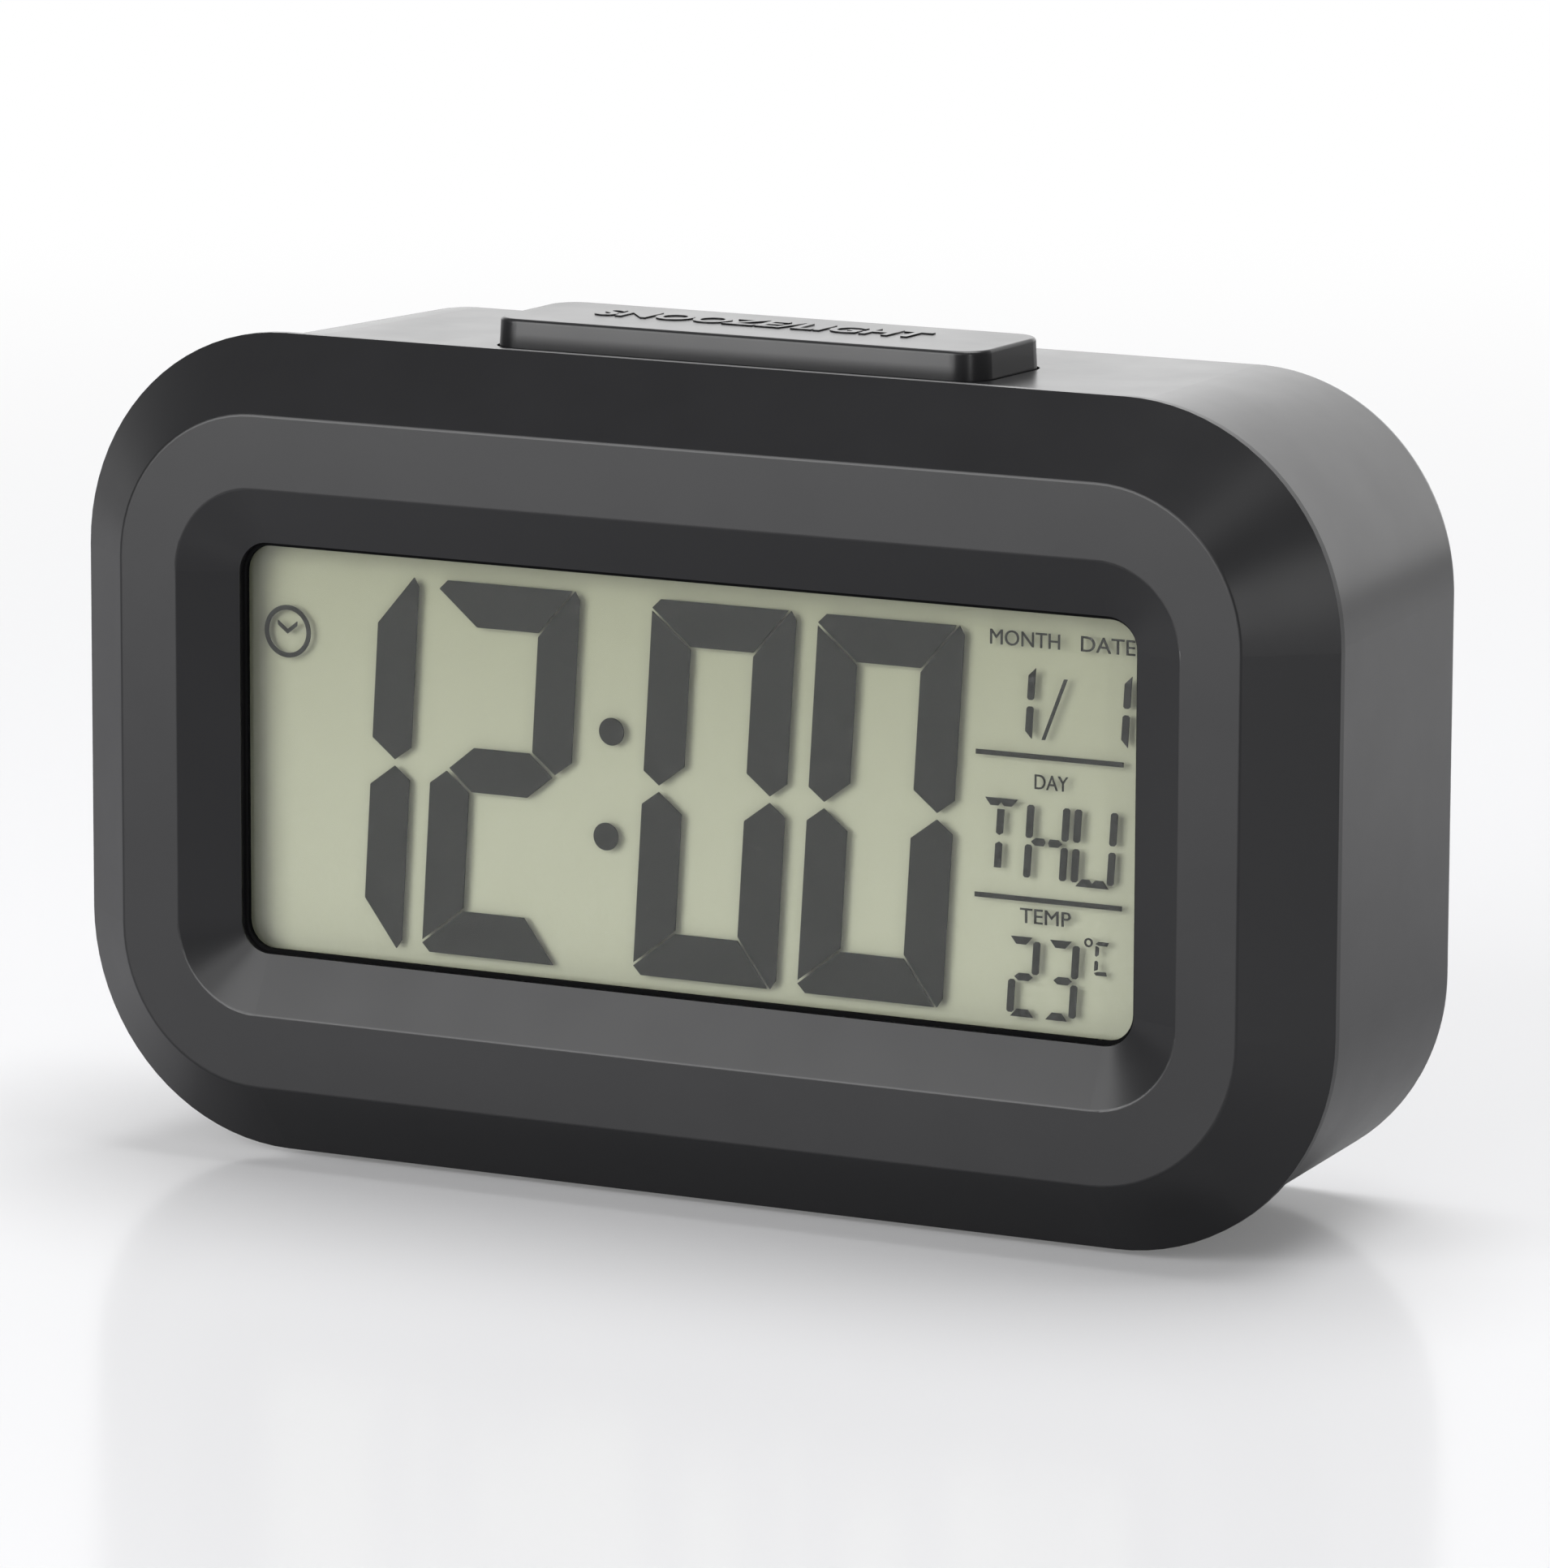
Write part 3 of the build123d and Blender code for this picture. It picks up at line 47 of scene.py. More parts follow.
# Front bezel and rear housing. Two mouldings in one charcoal ABS resin, closed by four screws
# from the back. The tool was spark-eroded, so the skin has a very fine, even satin grain.
def linear(code):
    """Linear colour of an sRGB hex value."""
    parts = [int(code[i:i + 2], 16) / 255 for i in (1, 3, 5)]
    return [*(p / 12.92 if p <= 0.04045 else ((p + 0.055) / 1.055) ** 2.4 for p in parts), 1.0]


def add_node(tree, kind, settings=(), inputs=()):
    """Adds a node, sets its properties, and sets or links its inputs."""
    node = tree.nodes.new(kind)
    for name, value in dict(settings).items():
        setattr(node, name, value)
    for name, value in dict(inputs).items():
        if isinstance(value, bpy.types.NodeSocket):
            tree.links.new(value, node.inputs[name])
        else:
            node.inputs[name].default_value = value
    return node


def start_material(name):
    """An empty node material, its tree, and the object's own coordinates in it."""
    material = bpy.data.materials.new(name)
    material.use_nodes = True
    tree = material.node_tree
    tree.nodes.clear()
    return material, tree, add_node(tree, "ShaderNodeTexCoord").outputs["Object"]


def end_material(tree, shader):
    """Shows a shader's first output on the surface."""
    add_node(tree, "ShaderNodeOutputMaterial", inputs={"Surface": shader.outputs[0]})


def moulded_plastic(name, dark, light, roughness, grain, relief, mottle=9.0, shine=0.5):
    """Plastic of two near colours in soft flow marks, with a grain of that spacing and relief in mm."""
    material, tree, place = start_material(name)
    gloss_swing = 0.04
    flow = add_node(tree, "ShaderNodeTexNoise", inputs={
        "Vector": place, "Scale": 1 / (mottle * MM), "Detail": 3.0, "Roughness": 0.6})
    skin = add_node(tree, "ShaderNodeTexNoise", inputs={
        "Vector": place, "Scale": 1 / (grain * MM), "Detail": 2.0, "Roughness": 0.5})
    colour = add_node(tree, "ShaderNodeMix", {"data_type": "RGBA"},
                      {0: flow.outputs["Fac"], 6: linear(dark), 7: linear(light)})
    gloss = add_node(tree, "ShaderNodeMapRange", inputs={
        "Value": flow.outputs["Fac"],
        "To Min": roughness - gloss_swing, "To Max": roughness + gloss_swing})
    bump = add_node(tree, "ShaderNodeBump", inputs={
        "Height": skin.outputs["Fac"], "Strength": 0.35, "Distance": relief * MM})
    end_material(tree, add_node(tree, "ShaderNodeBsdfPrincipled", inputs={
        "Base Color": colour.outputs[2], "Roughness": gloss.outputs["Result"], "IOR": 1.53,
        "Specular IOR Level": shine, "Normal": bump.outputs["Normal"]}))
    return material


def dress(material, *names):
    """Gives CAD nodes a material in place of the plain one that they came with."""
    for name in names:
        nodes[name].data.materials.clear()
        nodes[name].data.materials.append(material)


# The real grain, about 0.05 mm, is too fine to show, so it is drawn at 0.25 mm.
case_abs = moulded_plastic("charcoal_abs_satin", "#1d1d1f", "#202022", 0.30, grain=0.25, relief=0.003)
dress(case_abs, "front_bezel", "rear_housing")


# Display lens. A sheet of polished clear acrylic, cut with rounded corners and glued behind the
# window. A thin coat against glare takes some of its shine, and light passes straight in.
def clear_sheet(name, code, index, polish, haze):
    """A clear sheet, which refracts what is seen through it, with haze patches of that size in mm."""
    material, tree, place = start_material(name)
    patches = add_node(tree, "ShaderNodeTexNoise", inputs={
        "Vector": place, "Scale": 1 / (haze * MM), "Detail": 4.0})
    gloss = add_node(tree, "ShaderNodeMapRange", inputs={
        "Value": patches.outputs["Fac"], "To Min": 0.0, "To Max": polish})
    clear = add_node(tree, "ShaderNodeBsdfPrincipled", inputs={
        "Base Color": linear(code), "Roughness": gloss.outputs["Result"], "IOR": index,
        "Transmission Weight": 1.0})
    passing = add_node(tree, "ShaderNodeBsdfTransparent", inputs={"Color": linear(code)})
    path = add_node(tree, "ShaderNodeLightPath")
    lamp_or_bounce = add_node(tree, "ShaderNodeMath", {"operation": "MAXIMUM"},
                              {0: path.outputs["Is Shadow Ray"], 1: path.outputs["Is Diffuse Ray"]})
    end_material(tree, add_node(tree, "ShaderNodeMixShader", inputs={
        0: lamp_or_bounce.outputs[0], 1: clear.outputs[0], 2: passing.outputs[0]}))
    return material


dress(clear_sheet("clear_acrylic_sheet", "#fefefd", 1.42, polish=0.04, haze=14.0), "display_lens")


# Window seal. A narrow frame of black foam rubber, stuck on the lens against the wall of the window.
# It shows as a matt black line at the left and the foot of the display. This is painted shade, in place
# of the shadow that falls on the window's wall there.
window_width = 93.2 * MM
window_height = 39.2 * MM
window_corner = 3.0 * MM
seal_width = 0.35 * MM
seal_depth = 0.5 * MM
seal_gap = 0.02 * MM
corner_steps = 10
front_or_back = 0.9
lens_low, lens_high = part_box("display_lens")
bpy.ops.object.select_all(action="DESELECT")
bpy.ops.mesh.primitive_cube_add(
    size=1, location=(0, lens_low.y - seal_gap - seal_depth / 2, (lens_low.z + lens_high.z) / 2),
    scale=(window_width - 2 * seal_gap, seal_depth, window_height - 2 * seal_gap))
seal = bpy.context.object
seal.name = "window_seal_painted_shade"
bpy.ops.object.transform_apply(location=True, rotation=True, scale=True)
bpy.ops.object.mode_set(mode="EDIT")
bpy.ops.mesh.select_mode(type="EDGE")
bpy.ops.mesh.select_all(action="DESELECT")
bpy.ops.object.mode_set(mode="OBJECT")
for edge in seal.data.edges:
    ends = [seal.data.vertices[i].co for i in edge.vertices]
    edge.select = abs(ends[0].y - ends[1].y) > seal_depth / 2
bpy.ops.object.mode_set(mode="EDIT")
bpy.ops.mesh.bevel(offset=window_corner, segments=corner_steps)
bpy.ops.mesh.select_mode(type="FACE")
bpy.ops.mesh.select_all(action="DESELECT")
bpy.ops.object.mode_set(mode="OBJECT")
for face in seal.data.polygons:
    face.select = abs(face.normal.y) > front_or_back
bpy.ops.object.mode_set(mode="EDIT")
bpy.ops.mesh.delete(type="FACE")
bpy.ops.object.mode_set(mode="OBJECT")
wall = seal.modifiers.new("seal_wall", "SOLIDIFY")
wall.thickness = seal_width
wall.offset = -1
bpy.ops.object.modifier_apply(modifier=wall.name)
# Painted shade: the seal is near-black and matt, so the window's wall looks as dark as it does in
# shadow.
seal_painted_shade = moulded_plastic("seal_black_painted_shade", "#0c0c0d", "#131314", 0.9, grain=0.3,
                              relief=0.02, shine=0.1)
seal.data.materials.append(seal_painted_shade)
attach(seal, "case")


# Liquid-crystal cell. Two plates of thin float glass with ground edges, which the glue of the polarising
# film matches, so their faces hardly reflect. A hair of air keeps each plate off its neighbours.
cell_glass = clear_sheet("polarised_float_glass", "#fdfefb", 1.03, polish=0.01, haze=20.0)
hair = 0.02 * MM
ground_edge = 0.15 * MM
for name in ("lcd_front_glass", "lcd_rear_glass"):
    low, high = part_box(name)
    size = high - low - Vector((0, 2 * hair, 0))
    bpy.ops.object.select_all(action="DESELECT")
    bpy.ops.mesh.primitive_cube_add(size=1, location=(low + high) / 2, scale=size)
    plate = bpy.context.object
    plate.name = f"{name}_plate"
    bpy.ops.object.transform_apply(location=True, rotation=True, scale=True)
    bpy.ops.object.mode_set(mode="EDIT")
    bpy.ops.mesh.select_all(action="SELECT")
    bpy.ops.mesh.bevel(offset=ground_edge, segments=1)
    bpy.ops.object.mode_set(mode="OBJECT")
    plate.data.materials.append(cell_glass)
    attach(plate, "case")
    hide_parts(name)


# Numerals and signs. Where the crystal is switched on the polarisers block the light, so a
# segment looks dark grey, never quite black, and throws a soft shadow on the film behind.
segment_ink = moulded_plastic("switched_crystal", "#222422", "#272927", 0.6, grain=0.4, relief=0.001,
                              mottle=6.0, shine=0.05)
dress(segment_ink, "lcd_segments")


# Small captions of the display, made in the same layer as the numerals. Each is given by its
# left and right ends and its foot and head, measured on the glass in mm.
def lettering(name, words, centre, width, height, rise, turn, weight=0.0):
    """Words as a solid mesh, fitted to a width, a height and a rise in mm, turned to face its reader."""
    drawn_depth = 0.1
    curve_steps = 4
    weld = 0.0001
    bpy.ops.object.select_all(action="DESELECT")
    bpy.ops.object.text_add()
    piece = bpy.context.object
    piece.name = name
    piece.data.body = words
    piece.data.extrude = drawn_depth
    piece.data.offset = weight
    piece.data.resolution_u = curve_steps
    bpy.ops.object.convert(target="MESH")
    bpy.ops.object.mode_set(mode="EDIT")
    bpy.ops.mesh.select_all(action="SELECT")
    bpy.ops.mesh.remove_doubles(threshold=weld)
    bpy.ops.mesh.normals_make_consistent(inside=False)
    bpy.ops.object.mode_set(mode="OBJECT")
    bpy.ops.object.origin_set(type="ORIGIN_GEOMETRY", center="BOUNDS")
    drawn = piece.dimensions.copy()
    piece.scale = (width * MM / drawn.x, height * MM / drawn.y, rise * MM / drawn.z)
    piece.rotation_euler = turn
    piece.location = Vector(centre) * MM
    bpy.ops.object.transform_apply(location=True, rotation=True, scale=True)
    return piece


to_front = (pi / 2, 0, 0)
segment_low, segment_high = (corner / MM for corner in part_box("lcd_segments"))
captions = [
    ("MONTH", 30.65, 37.65, 55.3, 56.7),
    ("DATE", 39.75, 45.15, 55.35, 56.75),
    ("DAY", 35.25, 38.6, 42.4, 43.75),
    ("TEMP", 33.9, 39.0, 30.0, 31.35),
]
for words, left, right, foot, head in captions:
    centre = ((left + right) / 2, (segment_low.y + segment_high.y) / 2, (foot + head) / 2)
    caption = lettering(f"caption_{words.lower()}", words, centre, right - left, head - foot,
                        segment_high.y - segment_low.y, to_front)
    caption.data.materials.append(segment_ink)
    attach(caption, "case")


# Reflector. A matt grey-green film with a fine pearly grain, laid on the acrylic light guide. The real
# grain is drawn at 0.3 mm, because at its own size it wouldn't show. Its colour is darkened towards the
# top by painted shade, which stands in for the shadow of the bezel over the display.
pearl_grain = 0.3 * MM
painted_shade_start = 24 * MM
painted_shade_full = 70 * MM
material, tree, place = start_material("grey_green_reflector_film")
pearl = add_node(tree, "ShaderNodeTexNoise", inputs={
    "Vector": place, "Scale": 1 / pearl_grain, "Detail": 2.0, "Roughness": 0.7})
tone = add_node(tree, "ShaderNodeMix", {"data_type": "RGBA"},
                {0: pearl.outputs["Fac"], 6: linear("#c4c3b7"), 7: linear("#cecdc4")})
axes = add_node(tree, "ShaderNodeSeparateXYZ", inputs={"Vector": place})
# Painted shade: between these heights the film's colour darkens smoothly towards #adac9d, in place of
# the bezel's shadow.
head = add_node(tree, "ShaderNodeMapRange", {"interpolation_type": "SMOOTHSTEP"},
                {"Value": axes.outputs["Z"], "From Min": painted_shade_start, "From Max": painted_shade_full})
shade = add_node(tree, "ShaderNodeMix", {"data_type": "RGBA"},
                 {0: head.outputs["Result"], 6: tone.outputs[2], 7: linear("#adac9d")})
end_material(tree, add_node(tree, "ShaderNodeBsdfPrincipled", inputs={
    "Base Color": shade.outputs[2], "Roughness": 0.75, "Specular IOR Level": 0.2}))
dress(material, "lcd_reflector")


# Backlight. An edge-lit plate of clear acrylic with a roughened back, and the white lamp beside it.
# Neither shows until the clock is opened.
frost_grain = 0.8 * MM
material, tree, place = start_material("light_guide_acrylic")
frost = add_node(tree, "ShaderNodeTexNoise", inputs={
    "Vector": place, "Scale": 1 / frost_grain, "Detail": 2.0})
matt = add_node(tree, "ShaderNodeMapRange", inputs={
    "Value": frost.outputs["Fac"], "To Min": 0.15, "To Max": 0.4})
end_material(tree, add_node(tree, "ShaderNodeBsdfPrincipled", inputs={
    "Base Color": linear("#e9eee6"), "Roughness": matt.outputs["Result"], "IOR": 1.49,
    "Transmission Weight": 0.8}))
dress(material, "light_guide")
dress(moulded_plastic("lamp_white_nylon", "#e4e2d6", "#edebe0", 0.45, grain=0.3, relief=0.003),
      "backlight_led")


# Holder and switch bodies. Plain mouldings: white polystyrene for the holder that clamps the cell,
# black nylon for the switches and black acetal for their stems.
dress(moulded_plastic("holder_white_polystyrene", "#d8d8d2", "#e2e2dc", 0.4, grain=0.4, relief=0.004),
      "lcd_holder")
dress(moulded_plastic("switch_black_nylon", "#1d1d1e", "#252526", 0.5, grain=0.3, relief=0.005),
      "snooze_switch", "button_switches", "alarm_switch")
dress(moulded_plastic("stem_black_acetal", "#26262a", "#2e2e31", 0.35, grain=0.3, relief=0.003),
      "snooze_stem", "mode_stem", "set_stem", "up_stem", "down_stem")


# Contact strip. Silicone rubber with conductive stripes, squeezed between the cell and the board.
# The stripes run across it, drawn about 3 mm apart because the real ones are too fine to show.
stripe_pitch = pi * MM
wave_radians = 20
material, tree, place = start_material("striped_silicone_rubber")
stripes = add_node(tree, "ShaderNodeTexWave", {"wave_type": "BANDS", "bands_direction": "X"},
                   {"Vector": place, "Scale": 2 * pi / (stripe_pitch * wave_radians)})
shade = add_node(tree, "ShaderNodeMix", {"data_type": "RGBA"},
                 {0: stripes.outputs["Fac"], 6: linear("#1b1b1c"), 7: linear("#8d8d90")})
end_material(tree, add_node(tree, "ShaderNodeBsdfPrincipled",
                            inputs={"Base Color": shade.outputs[2], "Roughness": 0.7}))
dress(material, "zebra_strip")


# Circuit boards. Glass-filled laminate under green solder lacquer, with copper tracks that show
# through it as a lighter, slightly raised net. A block of the net is two links wide and four high.
net_block = 6 * MM
track_rise = 0.03 * MM
material, tree, place = start_material("lacquered_laminate")
tracks = add_node(tree, "ShaderNodeTexBrick", {"offset": 0.37}, {
    "Vector": place, "Scale": 1 / net_block, "Mortar Size": 0.06, "Mortar Smooth": 0.1,
    "Color1": linear("#14482a"), "Color2": linear("#185030"), "Mortar": linear("#2f7a4c")})
raised = add_node(tree, "ShaderNodeBump",
                  inputs={"Height": tracks.outputs["Fac"], "Strength": 0.4, "Distance": track_rise})
end_material(tree, add_node(tree, "ShaderNodeBsdfPrincipled", inputs={
    "Base Color": tracks.outputs["Color"], "Roughness": 0.3, "Normal": raised.outputs["Normal"]}))
dress(material, "main_board", "snooze_board", "button_board")


# Parts on the main board. The chip lies under a drop of glossy black resin, the crystal is a
# tin-plated can, the capacitors are sleeved in blue, and the sensor is a brown glass bead.
dress(moulded_plastic("potting_resin_black", "#0d0d0e", "#151516", 0.15, grain=1.5, relief=0.01),
      "clock_chip")


def plated_metal(name, dull, bright, roughness, rub):
    """Plated metal: bright, with fine rub marks of that spacing in mm that dull it here and there."""
    material, tree, place = start_material(name)
    dulling = 0.08
    polishing = 0.05
    marks = add_node(tree, "ShaderNodeTexNoise", inputs={
        "Vector": place, "Scale": 1 / (rub * MM), "Detail": 4.0, "Roughness": 0.65})
    colour = add_node(tree, "ShaderNodeMix", {"data_type": "RGBA"},
                      {0: marks.outputs["Fac"], 6: linear(dull), 7: linear(bright)})
    gloss = add_node(tree, "ShaderNodeMapRange", inputs={
        "Value": marks.outputs["Fac"], "To Min": roughness + dulling, "To Max": roughness - polishing})
    end_material(tree, add_node(tree, "ShaderNodeBsdfPrincipled", inputs={
        "Base Color": colour.outputs[2], "Metallic": 1.0, "Roughness": gloss.outputs["Result"]}))
    return material


dress(plated_metal("crystal_tin_plate", "#b9b9b6", "#d2d2cf", 0.25, rub=0.8), "crystal")
dress(moulded_plastic("capacitor_blue_sleeve", "#171c33", "#1e2440", 0.3, grain=0.5, relief=0.003),
      "capacitors")
dress(moulded_plastic("sensor_glass_bead", "#5a2417", "#6b2e1e", 0.12, grain=0.6, relief=0.002),
      "thermistor")


# Snooze bar. A hollow ABS key, polished a little more than the case, held in the top by its flange.
# Its function words are moulded into the tool and stand slightly proud.
bar_abs = moulded_plastic("bar_abs_smooth", "#1d1d1f", "#202022", 0.3, grain=0.25, relief=0.001,
                          shine=0.56)
dress(bar_abs, "snooze_bar")
upward = (0, 0, 0)
word_rise = 0.13
bar_words_width = 34.0
bar_words_height = 3.8
bar_top = (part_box("snooze_bar")[1] / MM).z
bar_words_centre = (-0.9, 1.0, bar_top + word_rise / 2)
bar_words = lettering("bar_lettering", "SNOOZE/LIGHT", bar_words_centre, bar_words_width,
                      bar_words_height, word_rise, upward, weight=0.02)
bar_words.data.materials.append(bar_abs)
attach(bar_words, "snooze_key")


# Buttons and alarm slider on the back. Dark grey ABS caps that come through the recessed panel.
# Their function words are pad-printed above and beside them in pale grey ink.
dress(moulded_plastic("button_grey_abs", "#3b3b3e", "#424245", 0.42, grain=0.25, relief=0.004),
      "mode_button", "set_button", "up_button", "down_button", "alarm_slider")
print_ink = moulded_plastic("pad_print_ink", "#b4b4b6", "#c2c2c4", 0.6, grain=0.3, relief=0.002,
                            mottle=1.5)
to_back = (pi / 2, 0, pi)
panel_recess = 1.2
print_thickness = 0.02
letter_width = 1.25
word_height = 1.5
word_gap = 0.9
housing_back = (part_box("rear_housing")[1] / MM).y
print_y = housing_back - panel_recess + print_thickness / 2
flange_margin = 1.0
slider_travel = 3.0
knob_low, knob_high = (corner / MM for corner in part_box("alarm_slider"))
slot_middle = (knob_low.x + knob_high.x + slider_travel) / 2
knob_middle = (knob_low.z + knob_high.z) / 2
word_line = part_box("mode_button")[1].z / MM - flange_margin + word_gap + word_height / 2
places = {"ALARM": (slot_middle, word_line),
          "OFF": (knob_low.x - word_gap - letter_width * len("OFF") / 2, knob_middle),
          "ON": (knob_high.x + slider_travel + word_gap + letter_width * len("ON") / 2, knob_middle)}
for words in ("MODE", "SET", "UP", "DOWN"):
    low, high = (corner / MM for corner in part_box(f"{words.lower()}_button"))
    places[words] = ((low.x + high.x) / 2, word_line)
for words, (across, up) in places.items():
    label = lettering(f"label_{words.lower()}", words, (across, print_y, up), letter_width * len(words),
                      word_height, print_thickness, to_back, weight=0.01)
    label.data.materials.append(print_ink)
    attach(label, "case")


# Battery door, batteries and contacts. The door is the case resin again. The cells have a printed
# jacket with a copper-coloured band at the plus end, and bear on nickel-plated plates and springs.
dress(case_abs, "battery_door")
material, tree, place = start_material("battery_jacket_foil")
cell_low, cell_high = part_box("batteries")
cell_rows = 3
row_height = (cell_high.z - cell_low.z) / cell_rows
band_start = 9 * MM
foil_speck = 0.6 * MM
axes = add_node(tree, "ShaderNodeSeparateXYZ", inputs={"Vector": place})
from_middle = add_node(tree, "ShaderNodeMath", {"operation": "SUBTRACT"},
                       {0: axes.outputs["Z"], 1: (cell_low.z + cell_high.z) / 2})
off_middle = add_node(tree, "ShaderNodeMath", {"operation": "ABSOLUTE"}, {0: from_middle.outputs[0]})
outer_row = add_node(tree, "ShaderNodeMath", {"operation": "GREATER_THAN"},
                     {0: off_middle.outputs[0], 1: row_height / 2})
sign = add_node(tree, "ShaderNodeMapRange",
                inputs={"Value": outer_row.outputs[0], "To Min": -1.0, "To Max": 1.0})
along = add_node(tree, "ShaderNodeMath", {"operation": "MULTIPLY"},
                 {0: axes.outputs["X"], 1: sign.outputs["Result"]})
band = add_node(tree, "ShaderNodeMath", {"operation": "GREATER_THAN"},
                {0: along.outputs[0], 1: band_start})
speck = add_node(tree, "ShaderNodeTexNoise", inputs={
    "Vector": place, "Scale": 1 / foil_speck, "Detail": 3.0})
jacket = add_node(tree, "ShaderNodeMix", {"data_type": "RGBA"},
                  {0: speck.outputs["Fac"], 6: linear("#1f2023"), 7: linear("#2a2b2f")})
foil = add_node(tree, "ShaderNodeMix", {"data_type": "RGBA"},
                {0: band.outputs[0], 6: jacket.outputs[2], 7: linear("#b06a3c")})
end_material(tree, add_node(tree, "ShaderNodeBsdfPrincipled", inputs={
    "Base Color": foil.outputs[2], "Metallic": 0.6, "Roughness": 0.3}))
dress(material, "batteries")
dress(plated_metal("contact_nickel_plate", "#a9a59c", "#c9c5bc", 0.28, rub=0.7),
      "contact_plates", "contact_springs")


# Screws. Zinc-plated steel, driven down the wells in the back and into the boards.
# The plating is pale grey with a soft brushed look.
dress(plated_metal("screw_zinc_plate", "#8f9093", "#b4b5b8", 0.32, rub=0.5),
      "case_screws", "holder_screws", "board_screws")


# Buzzer. A thin rolled brass plate, glued to its seat, with a silvered ceramic disc on it.
# The leads are soldered to both.
dress(plated_metal("buzzer_rolled_brass", "#a88543", "#cba85e", 0.25, rub=1.2), "buzzer_plate")
dress(moulded_plastic("buzzer_silvered_ceramic", "#bdbab0", "#cecbc2", 0.35, grain=0.4, relief=0.003),
      "buzzer_ceramic")


# Leads. Stranded wire in PVC, in the colours that the runs have from left to right.
# They are tacked to the boards, the battery contacts and the buzzer.
material, tree, place = start_material("lead_pvc_insulation")
lead_low, lead_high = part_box("wiring_leads")
axes = add_node(tree, "ShaderNodeSeparateXYZ", inputs={"Vector": place})
share = add_node(tree, "ShaderNodeMapRange", inputs={
    "Value": axes.outputs["X"], "From Min": lead_low.x, "From Max": lead_high.x})
runs = add_node(tree, "ShaderNodeValToRGB", inputs={"Fac": share.outputs["Result"]})
runs.color_ramp.interpolation = "CONSTANT"
lead_colours = [(0.0, "#1b1b1c"), (0.3, "#d8d4c8"), (0.45, "#b8222a"), (0.62, "#c9a227"),
                (0.85, "#8c1f24")]
for stop, (at, code) in enumerate(lead_colours):
    step = runs.color_ramp.elements[stop] if stop < 2 else runs.color_ramp.elements.new(at)
    step.position = at
    step.color = linear(code)
end_material(tree, add_node(tree, "ShaderNodeBsdfPrincipled",
                            inputs={"Base Color": runs.outputs["Color"], "Roughness": 0.4}))
dress(material, "wiring_leads")


# Rubber feet. Soft black rubber pads pressed into pockets under the housing.
# The surface is matt with a fine tooth.
dress(moulded_plastic("foot_soft_rubber", "#1c1c1d", "#232324", 0.8, grain=0.3, relief=0.02),
      "rubber_feet")


# Floor. A broad sheet of satin white acrylic, which takes a short soft shadow and a faint mirror
# image of whatever stands on it. To the camera it is whiter, and fades to plain white further off.
# What the clock mirrors of it is greyer, in bands from front to back.
floor_size = 8.0
band_reach = 0.5
mirror_share = 0.08
mirror_roughness = 0.14
fade_start = 0.18
fade_end = 0.75
least_fade = 0.15
bpy.ops.object.select_all(action="DESELECT")
bpy.ops.mesh.primitive_plane_add(size=floor_size, location=(0, 0, 0))
floor = bpy.context.object
floor.name = "studio_floor"
material, tree, place = start_material("satin_white_sheet")
reach = add_node(tree, "ShaderNodeVectorMath", {"operation": "LENGTH"}, {0: place})
axes = add_node(tree, "ShaderNodeSeparateXYZ", inputs={"Vector": place})
rows = add_node(tree, "ShaderNodeMapRange",
                inputs={"Value": axes.outputs["Y"], "From Min": -band_reach, "From Max": band_reach})
dimming = add_node(tree, "ShaderNodeValToRGB", inputs={"Fac": rows.outputs["Result"]})
stops = dimming.color_ramp.elements
stops[0].position, stops[0].color = 0.1, linear("#99999b")
stops[1].position, stops[1].color = 0.78, linear("#dededf")
for position, code in ((0.44, "#bcbcbe"), (0.6, "#b3b3b5")):
    stops.new(position).color = linear(code)
path = add_node(tree, "ShaderNodeLightPath")
tone = add_node(tree, "ShaderNodeMix", {"data_type": "RGBA"},
                {0: path.outputs["Is Camera Ray"], 6: dimming.outputs["Color"], 7: linear("#eaeaec")})
sheet = add_node(tree, "ShaderNodeBsdfDiffuse", inputs={"Color": tone.outputs[2]})
gloss = add_node(tree, "ShaderNodeBsdfGlossy",
                 inputs={"Color": linear("#ffffff"), "Roughness": mirror_roughness})
satin = add_node(tree, "ShaderNodeMixShader",
                 inputs={0: mirror_share, 1: sheet.outputs[0], 2: gloss.outputs[0]})
fade = add_node(tree, "ShaderNodeMapRange", {"interpolation_type": "SMOOTHSTEP"}, {
    "Value": reach.outputs["Value"], "From Min": fade_start, "From Max": fade_end, "To Min": least_fade})
faded = add_node(tree, "ShaderNodeMath", {"operation": "MULTIPLY"},
                 {0: fade.outputs["Result"], 1: path.outputs["Is Camera Ray"]})
plain_white = add_node(tree, "ShaderNodeEmission", inputs={"Color": linear("#ffffff"), "Strength": 1.0})
end_material(tree, add_node(tree, "ShaderNodeMixShader", inputs={
    0: faded.outputs[0], 1: satin.outputs[0], 2: plain_white.outputs[0]}))
floor.data.materials.append(material)


# Studio light. A tall soft box stands in front on the left over a low one, with a small one beside them.
# A broad box hangs over the back, and two small ones on the right give the corner glints.
# The surround is white behind the clock and dim in front.
def soft_box(name, place, aim, width, height, radiance):
    """A rectangular lamp at a place, turned to a point, in metres, as bright as so many white cards."""
    bpy.ops.object.light_add(type="AREA", location=place)
    lamp = bpy.context.object
    lamp.name = name
    lamp.data.shape = "RECTANGLE"
    lamp.data.size = width
    lamp.data.size_y = height
    lamp.data.energy = pi * width * height * radiance
    lamp.rotation_euler = (Vector(aim) - Vector(place)).to_track_quat("-Z", "Y").to_euler()
    lamp.visible_camera = False


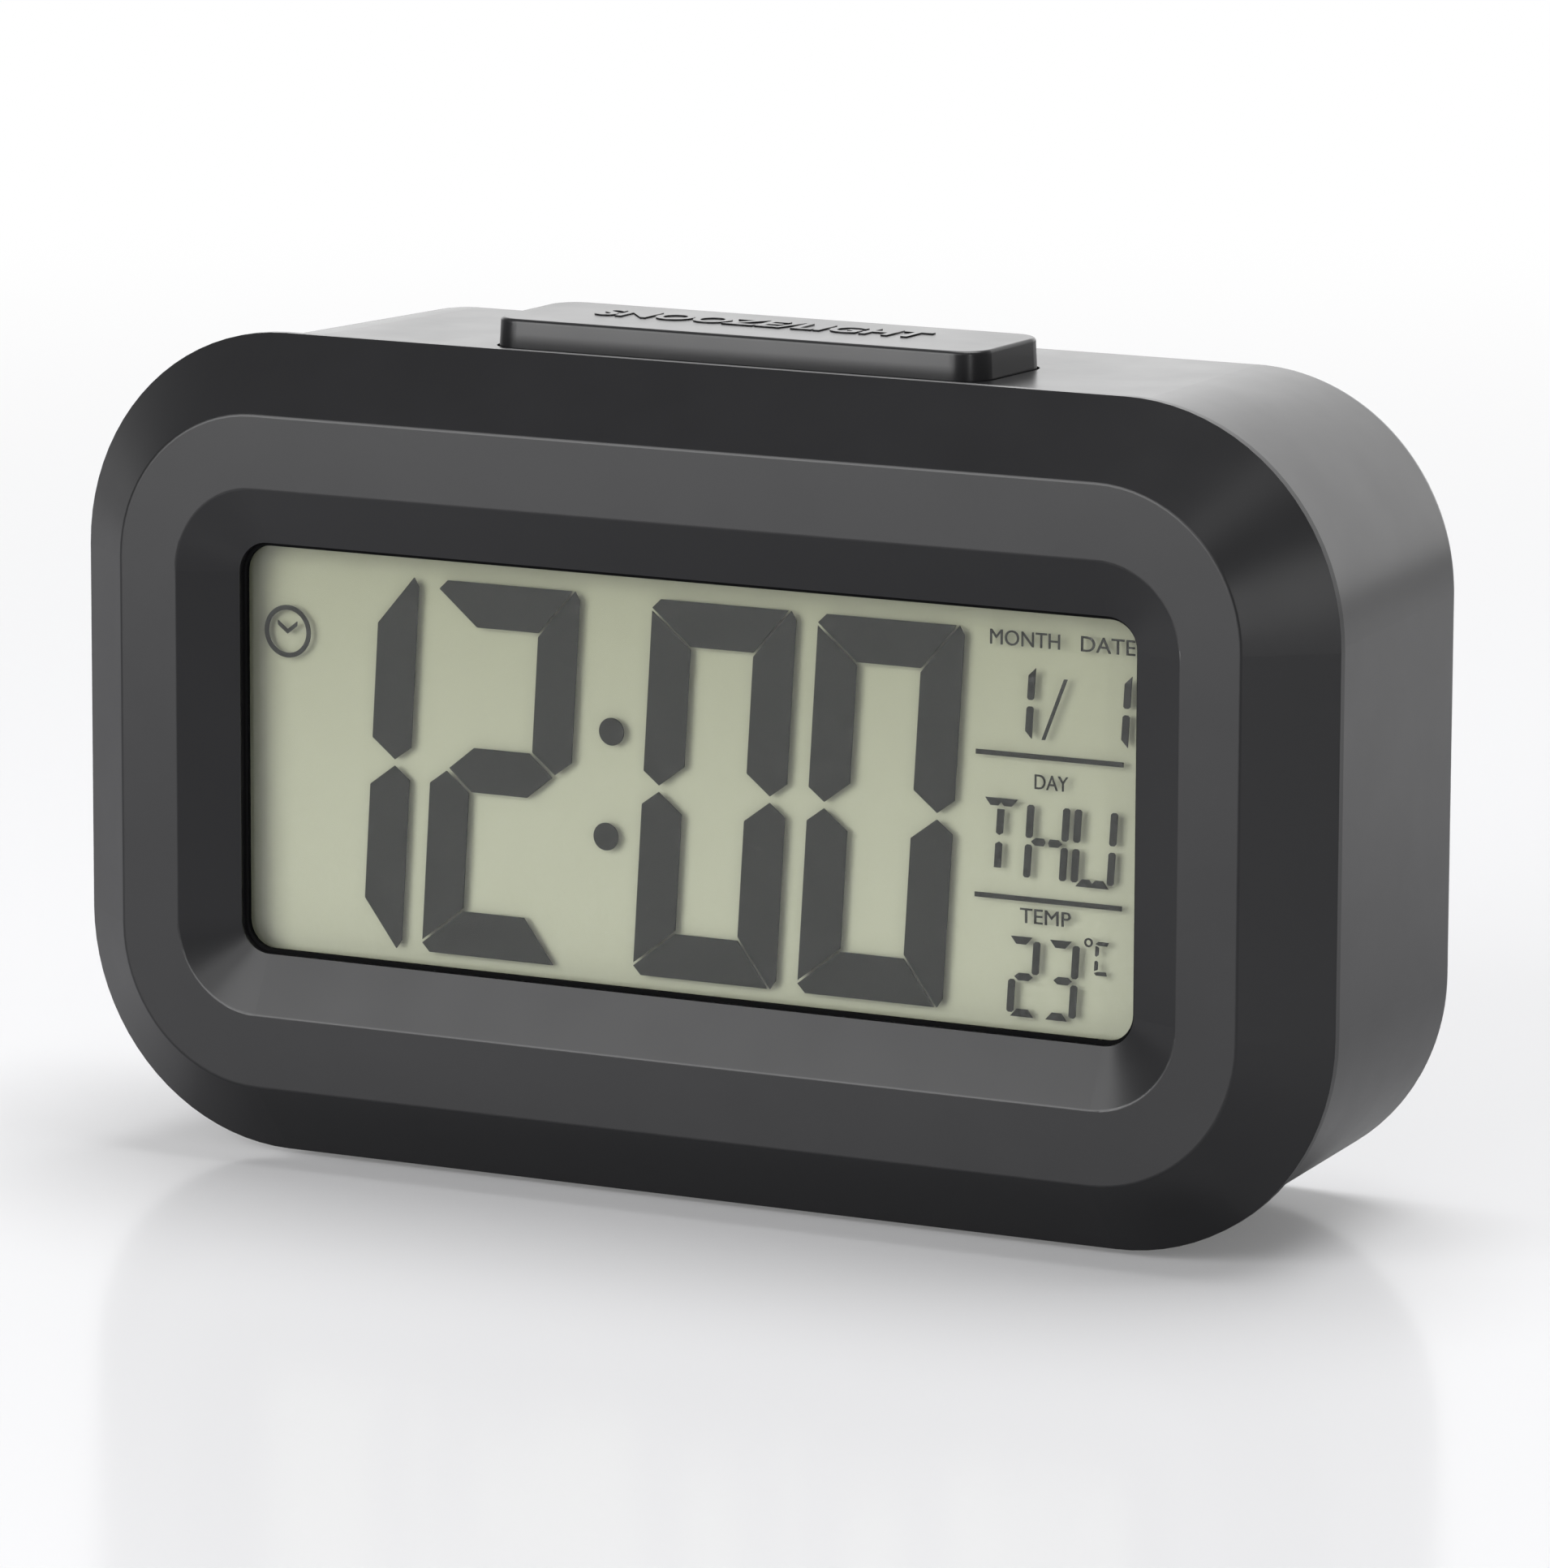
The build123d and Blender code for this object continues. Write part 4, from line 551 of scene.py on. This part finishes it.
soft_box("key_box", (-0.39, -0.81, 0.37), (0, 0, 0.37), 0.66, 0.70, 3.5)
soft_box("low_box", (-0.39, -0.80, 0.10), (0, 0, 0.10), 0.56, 0.16, 2.4)
soft_box("front_box", (0.16, -0.88, 0.48), (0, 0, 0.04), 0.2, 0.2, 4.0)
soft_box("top_box", (0.1, 0.25, 1.3), (0, 0, 0), 1.2, 0.8, 4.2)
soft_box("corner_box", (0.42, -0.58, 0.74), (0, 0, 0.04), 0.22, 0.22, 1.5)
soft_box("side_strip", (0.71, -0.55, 0.2), (0, 0, 0.2), 0.07, 0.4, 6.0)

glow_way = (-0.34, 0.94, 0.0)
glow_edge = 0.5
glow_middle = 0.95
glow_strength = 1.7
glow_fade_start = 0.25
glow_fade_end = 0.7
share_above = 0.1
room_strength = 0.2
world = bpy.data.worlds.new("white_surround")
bpy.context.scene.world = world
world.use_nodes = True
tree = world.node_tree
tree.nodes.clear()
way = add_node(tree, "ShaderNodeTexCoord").outputs["Generated"]
axes = add_node(tree, "ShaderNodeSeparateXYZ", inputs={"Vector": way})
towards = add_node(tree, "ShaderNodeVectorMath", {"operation": "DOT_PRODUCT"}, {0: way, 1: glow_way})
behind = add_node(tree, "ShaderNodeMapRange", {"interpolation_type": "SMOOTHSTEP"}, {
    "Value": towards.outputs["Value"], "From Min": glow_edge, "From Max": glow_middle,
    "To Min": 0.0, "To Max": glow_strength})
low_down = add_node(tree, "ShaderNodeMapRange", {"interpolation_type": "SMOOTHSTEP"}, {
    "Value": axes.outputs["Z"], "From Min": glow_fade_start, "From Max": glow_fade_end,
    "To Min": 1.0, "To Max": share_above})
glow = add_node(tree, "ShaderNodeMath", {"operation": "MULTIPLY"},
                {0: behind.outputs["Result"], 1: low_down.outputs["Result"]})
strength = add_node(tree, "ShaderNodeMath", {"operation": "ADD"}, {0: glow.outputs[0], 1: room_strength})
room = add_node(tree, "ShaderNodeBackground",
                inputs={"Color": linear("#ffffff"), "Strength": strength.outputs[0]})
white = add_node(tree, "ShaderNodeBackground", inputs={"Color": linear("#ffffff"), "Strength": 1.0})
path = add_node(tree, "ShaderNodeLightPath")
shown = add_node(tree, "ShaderNodeMixShader",
                 inputs={0: path.outputs["Is Camera Ray"], 1: room.outputs[0], 2: white.outputs[0]})
add_node(tree, "ShaderNodeOutputWorld", inputs={"Surface": shown.outputs[0]})


# Camera. It stands to the right of the clock and looks slightly down, as in the photograph.
# The focal length is for a frame whose long side takes the whole sensor.
photo_long_side = 1932
focal_pixels = 11505.5
sensor = 36.0
yaw = radians(27.68)
pitch = radians(10.36)
roll = 0.0041
reach = 848.54 * MM
aim = Vector((11.575, -20.0, 41.595)) * MM
view_depth = 50
bpy.ops.object.camera_add()
camera = bpy.context.object
turn = Euler((pi / 2 - pitch, 0, yaw)).to_matrix() @ Matrix.Rotation(roll, 3, "Z")
camera.rotation_euler = turn.to_euler()
camera.location = aim + turn @ Vector((0, 0, reach))
camera.data.sensor_width = sensor
camera.data.lens = sensor * focal_pixels / photo_long_side
camera.data.clip_end = view_depth
bpy.context.scene.camera = camera
